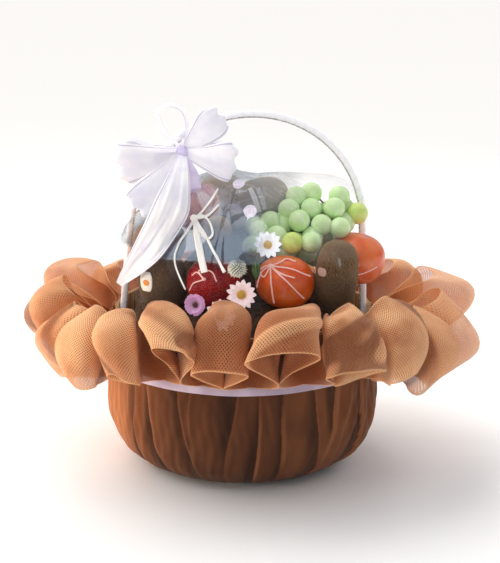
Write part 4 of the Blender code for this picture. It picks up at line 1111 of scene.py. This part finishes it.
def make_twine(fruit):
    """Twisted pink twine tied round the fruit: each strand is a bar whose radius turns with its twist."""
    # Painted light: a faint pink glow.
    finish = Finish("pink_twine", roughness=0.7, emission_color=tint(246, 196, 186), emission_strength=0.15)
    across, along = finish.flat()
    ply = finish.calc("PINGPONG", finish.calc("ADD", across, along), 0.25)
    finish.set(base_color=finish.mix(finish.step(ply, 0.0, 0.12), tint(214, 146, 138), tint(250, 206, 198)))
    x, z = TWINE_KNOT
    routes = {
        "twine_front": ("persimmon_front", 0.95, [
            [(x, z), (24, 262), (19, 249), (18, 242)],
            [(x, z), (34, 250), (37, 228)],
            [(x, z), (52, 254), (71, 232)],
            [(x, z), (56, 267), (78, 257)],
            [(x, z), (48, 273), (62, 272)],
            [(x, z), (27, 267), (21, 261), (26, 257), (x, z)],
            [(x, z), (44, 263), (60, 258)],
        ]),
        "twine_right": ("persimmon_right", 0.7, [[(118, 249), (139, 250), (160, 257)]]),
        "twine_left": ("red_fruit", 0.8, [
            [(-44, 256), (-56, 250), (-61, 240)],
            [(-44, 256), (-50, 264), (-36, 264), (-30, 254)],
            [(-44, 256), (-52, 262), (-58, 258)],
        ]),
    }
    for name, (below, radius, lines) in routes.items():
        tree = tree_of(fruit[below])
        parts = []
        for route in lines:
            path = twine_line(tree, route, radius)
            far = lengths(path) / TWIST_LENGTH
            wide = radius * (1 + 0.16 * np.cos(2 * (turns(TWINE_SIDES)[None] - TURN * far[:, None])))
            flat = np.dstack(np.meshgrid(np.arange(TWINE_SIDES + 1) / TWINE_SIDES, -far))
            parts.append(tube(path, wide, TWINE_SIDES, flat))
        point, normal = cast(tree, *lines[0][0])
        parts.append(ball(point + normal * 1.6, np.array([2.4, 1.8, 2.0])))
        add_piece(name + "_strands", parts, [finish.material], [name])


def make_labels(fruit):
    """Two plain stickers: ovals laid on the skin, the left one with a round spot of colour."""
    for name, below, route, widths, spot in (
        ("label_left", "kiwi_left", [(-113, 259), (-113, 235)], (9, 13.5, 14.5, 14.5, 13.5, 9), True),
        ("label_right", "kiwi_right", [(93, 267), (93, 257)], (5, 8, 9, 9, 8, 5), False),
    ):
        grid = refined(strip_over(tree_of(fruit[below]), route, widths, 0.5, 6, 5), 18, 14)
        finish = Finish(name + "_paper", roughness=0.4, coat_weight=0.2)
        across, along = finish.flat()
        off_x = finish.calc("SUBTRACT", across, 0.5)
        off_y = finish.product(finish.calc("SUBTRACT", along, 0.55), 1.7)
        squares = finish.calc("ADD", finish.product(off_x, off_x), finish.product(off_y, off_y))
        far = finish.calc("SQRT", squares)
        paper = tint(238, 236, 228) if spot else tint(206, 176, 160)
        share = finish.step(far, 0.24, 0.28, 1.0 if spot else 0.0, 0.0)
        finish.set(base_color=finish.mix(share, paper, tint(232, 148, 60)))
        add_piece(name + "_sticker", [patch(grid)], [finish.material], [name], 0.3)


# Bows

BOW_KNOT = np.array((-72.0, -20.0, 389.0))
SASH_ROUTE = (
    (-72, -24, 387), (-76, -74, 362), (-84, -94, 332), (-106, -88, 294), (-130, -86, 262), (-147, -80, 240),
)
SASH_WIDTHS = (10, 30, 44, 36, 20, 8)
SASH_LENGTH = 190.0
SASH_GAP = 6.4
SMALL_KNOT = (-56.0, 318.0)


def bow_loops():
    """The bow's loops as (route, width directions, half widths), from its knot."""
    front = (0.1, 1, 0.2)
    top = [(0, 0, 0), (6, -2, 26), (3, -1, 48), (-9, 1, 57), (-24, 2, 54), (-31, 2, 44), (-21, 0, 21)]
    left = [(0, 0, 0), (-28, -2, 4), (-50, -3, 13), (-64, -2, 16), (-72, 0, 10), (-70, 1, 2), (-44, 1, 1)]
    for narrow in (top + [(0, 1, 2)], left + [(0, 0, -2)]):
        yield narrow, [front] * 8, (5, 8, 9, 9, 8, 5)
    for tip, half_widths in (
        ((-76, -9, -14), (4, 14, 23, 26, 23, 14, 5)),
        ((-52, -56, -58), (4, 12, 20, 21, 20, 12, 4)),
        ((45, -9, 45), (4, 13, 20, 18, 20, 13, 4)),
        ((62, -34, -8), (4, 13, 22, 24, 22, 14, 5)),
    ):
        end = np.array(tip, float)
        out = [end * share + (0, -7 * math.sin(math.pi * share), 0) for share in (0, 0.35, 0.7, 0.97)]
        home = [end * share + (0, 5 + 6 * math.sin(math.pi * share), 0) for share in (1.0, 0.7, 0.35, 0)]
        across = np.cross(end, (0, 1, 0))
        yield out + home, [across] * 8, half_widths


def make_bow(film):
    """The large bow of satin: loops from its knot, a ring and a neck that hang it on the handle, two lilac
    ends, then the knot and the sash. The lilac of the ends and the knot is painted shade on white satin."""
    satin = satin_finish("white_satin", tint(244, 243, 248), tint(226, 222, 236), 0.42, tint(176, 170, 188))
    # Painted shade: the lilac of the bow's ends and knot.
    lilac = satin_finish("bow_shade_satin", tint(222, 212, 238), tint(196, 184, 222), 0.42)
    parts = []
    for route, across, half_widths in bow_loops():
        rounded = 9.0 if len(half_widths) == 7 else 0.0
        parts.append(ribbon(BOW_KNOT + np.array(route), across, half_widths, 44, 21, 1.2, 0.9, rounded))
    hoop = resample(handle_path(), 400)
    nearest = np.argmin(np.abs(hoop[:, 0] - BOW_KNOT[0]) + 400 * (hoop[:, 2] < HANDLE_SPRING))
    hung = hoop[nearest]
    along = unit(hoop[nearest - 1] - hoop[nearest + 1])
    over = np.cross(along, (0, 1, 0))
    circle = circles(turns(28), np.array((0, 1, 0)), over)
    ring = np.stack([hung + along * side + circle * 6.6 for side in np.linspace(-5, 5, 6)])
    parts.append(patch(ring, True))
    neck = [BOW_KNOT + (0, 4, 2), BOW_KNOT + (2, 6, 12), hung + (2, -7.2, -5), hung + (2, -7.0, 1)]
    parts.append(ribbon(neck, [(1, 0, 0.1)] * 4, (4, 4.5, 4.5), 12, 5))
    for reach, widths in (((-22, -34, -52), (4, 9, 11, 9)), ((16, -22, -44), (4, 8, 10, 7))):
        end = BOW_KNOT + np.array(reach, float)
        route = [BOW_KNOT + (0, -6, -3), BOW_KNOT + np.array(reach) * 0.5 + (0, -8, 0), end]
        parts.append((*ribbon(route, [(1, 0, 0.3)] * 3, widths, 22, 9, 1.6, 0.6)[:3], 1))
    made = add_piece("bow_loops", parts, [satin, lilac], ["satin_bow"], 0.45)
    make_knot(lilac)
    make_sash(film, satin)


def make_knot(finish):
    """The bow's knot: an ellipsoid creased from end to end."""
    lift = np.linspace(-math.pi / 2, math.pi / 2, 22)[1:-1, None]
    turn = turns(30)[None]
    knot = about_axis(np.cos(lift) * (1 + 0.07 * np.cos(9 * turn)), turn, np.sin(lift)) * (8.2, 8.6, 9.0)
    part = patch(knot + BOW_KNOT, True, (BOW_KNOT - (0, 0, 9), BOW_KNOT + (0, 0, 9)))
    add_piece("bow_knot", [part], [finish], [])


def make_sash(film, finish):
    """The bow's sash: a strip along its route, kept in front of the film, with waves that cross it."""
    rows, columns = 9, 5
    line = resample(SASH_ROUTE, rows)
    coarse = np.zeros((rows, columns, 3))
    for row, column, x, z in strip_places(line[:, ::2], SASH_WIDTHS, columns):
        hit = film.ray_cast(Vector((x, -OUTSIDE, z)) * MM, Vector((0, 1, 0)))[0]
        film_y = 0 if hit is None else hit.y / MM
        coarse[row, column] = (x, min(line[row, 1], film_y - SASH_GAP), z)
    fine = refined(coarse, 80, 25)
    down, side = np.linspace(0, 1, 80)[:, None], np.linspace(-1, 1, 25)[None]
    waves = 2.6 * np.sin(7 * side + 4 * down) + 1.0 * np.sin(15 * side - 7 * down)
    fine[..., 1] += waves * np.sin(math.pi * down) - 1.6
    flat = np.dstack([side + 0 * down, SASH_LENGTH * down + 0 * side])
    made = add_piece("bow_sash", [patch(fine, flat=flat)], [finish], [], 0.45)


def make_small_bow(film):
    """The small cream bow tied on the film: one loop, tails and a cord."""
    x, z = SMALL_KNOT
    parts = []
    for route, widths, rows in (
        ([(0, 0), (9, 4), (18, -2), (22, -13), (15, -18), (5, -9), (1, -2)], (2.2, 2.4, 2.2), 14),
        ([(0, 0), (-8, -12), (-18, -26), (-22, -44), (-9, -71)], (3, 2.2, 2.0), 10),
        ([(0, 0), (4, -18), (8, -34), (13, -52)], (5, 9, 8), 8),
        ([(1, 0), (14, -16), (26, -34), (36, -50)], (3.2, 3.2, 3.2), 8),
        ([(0, 0), (12, 11), (27, 30)], (2.4, 2.2, 1.8), 6),
        ([(0, 0), (16, 5), (28, 15)], (2.4, 2.2, 1.8), 6),
    ):
        grid = strip_over(film, [(x + a, z + b) for a, b in route], widths, 1.6, rows, 2)
        parts.append(patch(refined(grid, 5 * rows, 5)))
    point, normal = cast(film, x, z)
    parts.append(ball(point + normal * 3.4, np.array([4.4, 3.2, 4.2]), 12, 20))
    cream = satin_finish("cream_satin", tint(253, 250, 242), tint(236, 230, 228), 0.4)
    made = add_piece("cream_bow_strips", parts, [cream], ["cream_bow"], 0.4)


def make_fruit_ribbon(fruit):
    """White ribbon and a strip of lace over the upper kiwi."""
    tree = tree_of(fruit["kiwi_top"])
    band = refined(strip_over(tree, [(9, 343), (14, 333), (20, 315)], (5, 6, 6), 1.4), 30, 7)
    lace = refined(strip_over(tree, [(18, 343), (23, 333), (27, 318)], (5, 6, 5), 0.8), 30, 9)
    ribbon_white = satin_finish("fruit_ribbon_satin", tint(248, 246, 250), tint(228, 222, 234), 0.4)
    lacy = Finish("lace", base_color=tint(240, 236, 242), roughness=0.7)
    across, along = lacy.flat()
    rings = lacy.node("CombineXYZ", lacy.product(across, 3.0), lacy.product(along, 11.0), 0.0)
    cells = lacy.node("TexVoronoi", rings.outputs[0], feature="DISTANCE_TO_EDGE")
    cells.inputs["Scale"].default_value = 1.6
    lacy.set(alpha=lacy.step(cells.outputs["Distance"], 0.10, 0.16, 1.0, 0.1))
    parts, finishes = [patch(band), patch(lace, finish=1)], [ribbon_white, lacy.material]
    made = add_piece("fruit_ribbon_satin", parts, finishes, ["fruit_ribbon"], 0.3)


def dress_basket():
    """Wicker for the bowl's own solid: stakes crossed by bent weavers."""
    finish = Finish("wicker", roughness=0.65)
    weave = finish.node("TexBrick", finish.place())
    tones = {"Color1": tint(176, 132, 86), "Color2": tint(152, 108, 66), "Mortar": tint(86, 58, 36)}
    for socket, value in {"Scale": 60.0, **tones}.items():
        weave.inputs[socket].default_value = value
    finish.set(base_color=weave.outputs[0])
    finish.bump(weave.outputs[1], -1.0, 0.7)
    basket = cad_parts["basket"]
    basket.data.materials.clear()
    basket.data.materials.append(finish.material)


# Floor, light and camera

CAMERA_AT = (0.00875, -1.6495, 0.6343)
CAMERA_TILT = 76.0
CAMERA_LENS = 86.96
FLOOR_SIZE = 60.0
SUN_ANGLE = math.radians(80)
SIDE_SPREAD = math.radians(40)
# Each light: its kind, energy, colour, place, aim and what else it has, in metres.
LIGHTS = {
    "back": ("AREA", 12, (1, 1, 1), (1.3, 0.9, 1.1), (0.3, 0, 0.1), {
        "shape": "RECTANGLE", "size": 1.2, "size_y": 1.2,
    }),
    "key": ("SUN", 3.2, (1.0, 0.94, 0.86), (-1.1, 0.75, 1.1), (0, 0, 0), {"angle": SUN_ANGLE}),
    "panel": ("AREA", 18, (0.88, 0.94, 1.0), (-1.0, -1.0, 2.2), (-1.0, -1.0, 0.0), {
        "shape": "RECTANGLE", "size": 2.2, "size_y": 3.1,
    }),
    "side": ("AREA", 0.9, (1.0, 0.82, 0.62), (-1.2, -0.30, 0.08), (-0.12, -0.03, 0.09), {
        "shape": "RECTANGLE", "size": 0.4, "size_y": 0.25, "spread": SIDE_SPREAD,
    }),
}


def make_stage():
    """A pale floor, a warm key light from the left and behind, a wide cool panel above, a weak warm light low
    on the left, one from behind on the right, and the camera."""
    mesh = bpy.data.meshes.new("floor")
    half = FLOOR_SIZE / 2
    corners = [(-half, -half, 0), (half, -half, 0), (half, half, 0), (-half, half, 0)]
    mesh.from_pydata(corners, [], [(0, 1, 2, 3)])
    pale = Finish("floor_pale", base_color=(0.93, 0.93, 0.93, 1), roughness=0.9)
    mesh.materials.append(pale.material)
    floor = bpy.data.objects.new("floor", mesh)
    bpy.context.scene.collection.objects.link(floor)

    for name, (kind, energy, colour, place, aim, settings) in LIGHTS.items():
        light = bpy.data.lights.new(name, kind)
        light.energy = energy
        light.color = colour
        for setting, value in settings.items():
            setattr(light, setting, value)
        made = bpy.data.objects.new(name, light)
        made.location = place
        made.rotation_euler = (Vector(place) - Vector(aim)).to_track_quat("Z", "Y").to_euler()
        made.visible_glossy = name == "panel"
        bpy.context.scene.collection.objects.link(made)

    world = bpy.data.worlds.new("studio")
    world.use_nodes = True
    sky = world.node_tree.nodes["Background"]
    sky.inputs["Color"].default_value = (0.93, 0.96, 1.0, 1)
    sky.inputs["Strength"].default_value = 0.47
    scene = bpy.context.scene
    scene.world = world
    scene.view_settings.view_transform = "Standard"
    scene.cycles.transparent_max_bounces = 48

    camera = bpy.data.cameras.new("camera")
    camera.lens = CAMERA_LENS
    eye = bpy.data.objects.new("camera", camera)
    eye.location = CAMERA_AT
    eye.rotation_euler = (math.radians(CAMERA_TILT), 0, 0)
    scene.collection.objects.link(eye)
    scene.camera = eye


make_stage()
dress_basket()
make_wrap()
make_band()
make_ruffle()
make_handle()
fruit_pieces = make_fruit()
make_grapes()
make_packing()
make_flowers()
make_fruit_ribbon(fruit_pieces)
make_twine(fruit_pieces)
make_labels(fruit_pieces)
film_tree = tree_of(make_film())
make_bow(film_tree)
make_small_bow(film_tree)

bpy.context.view_layer.update()
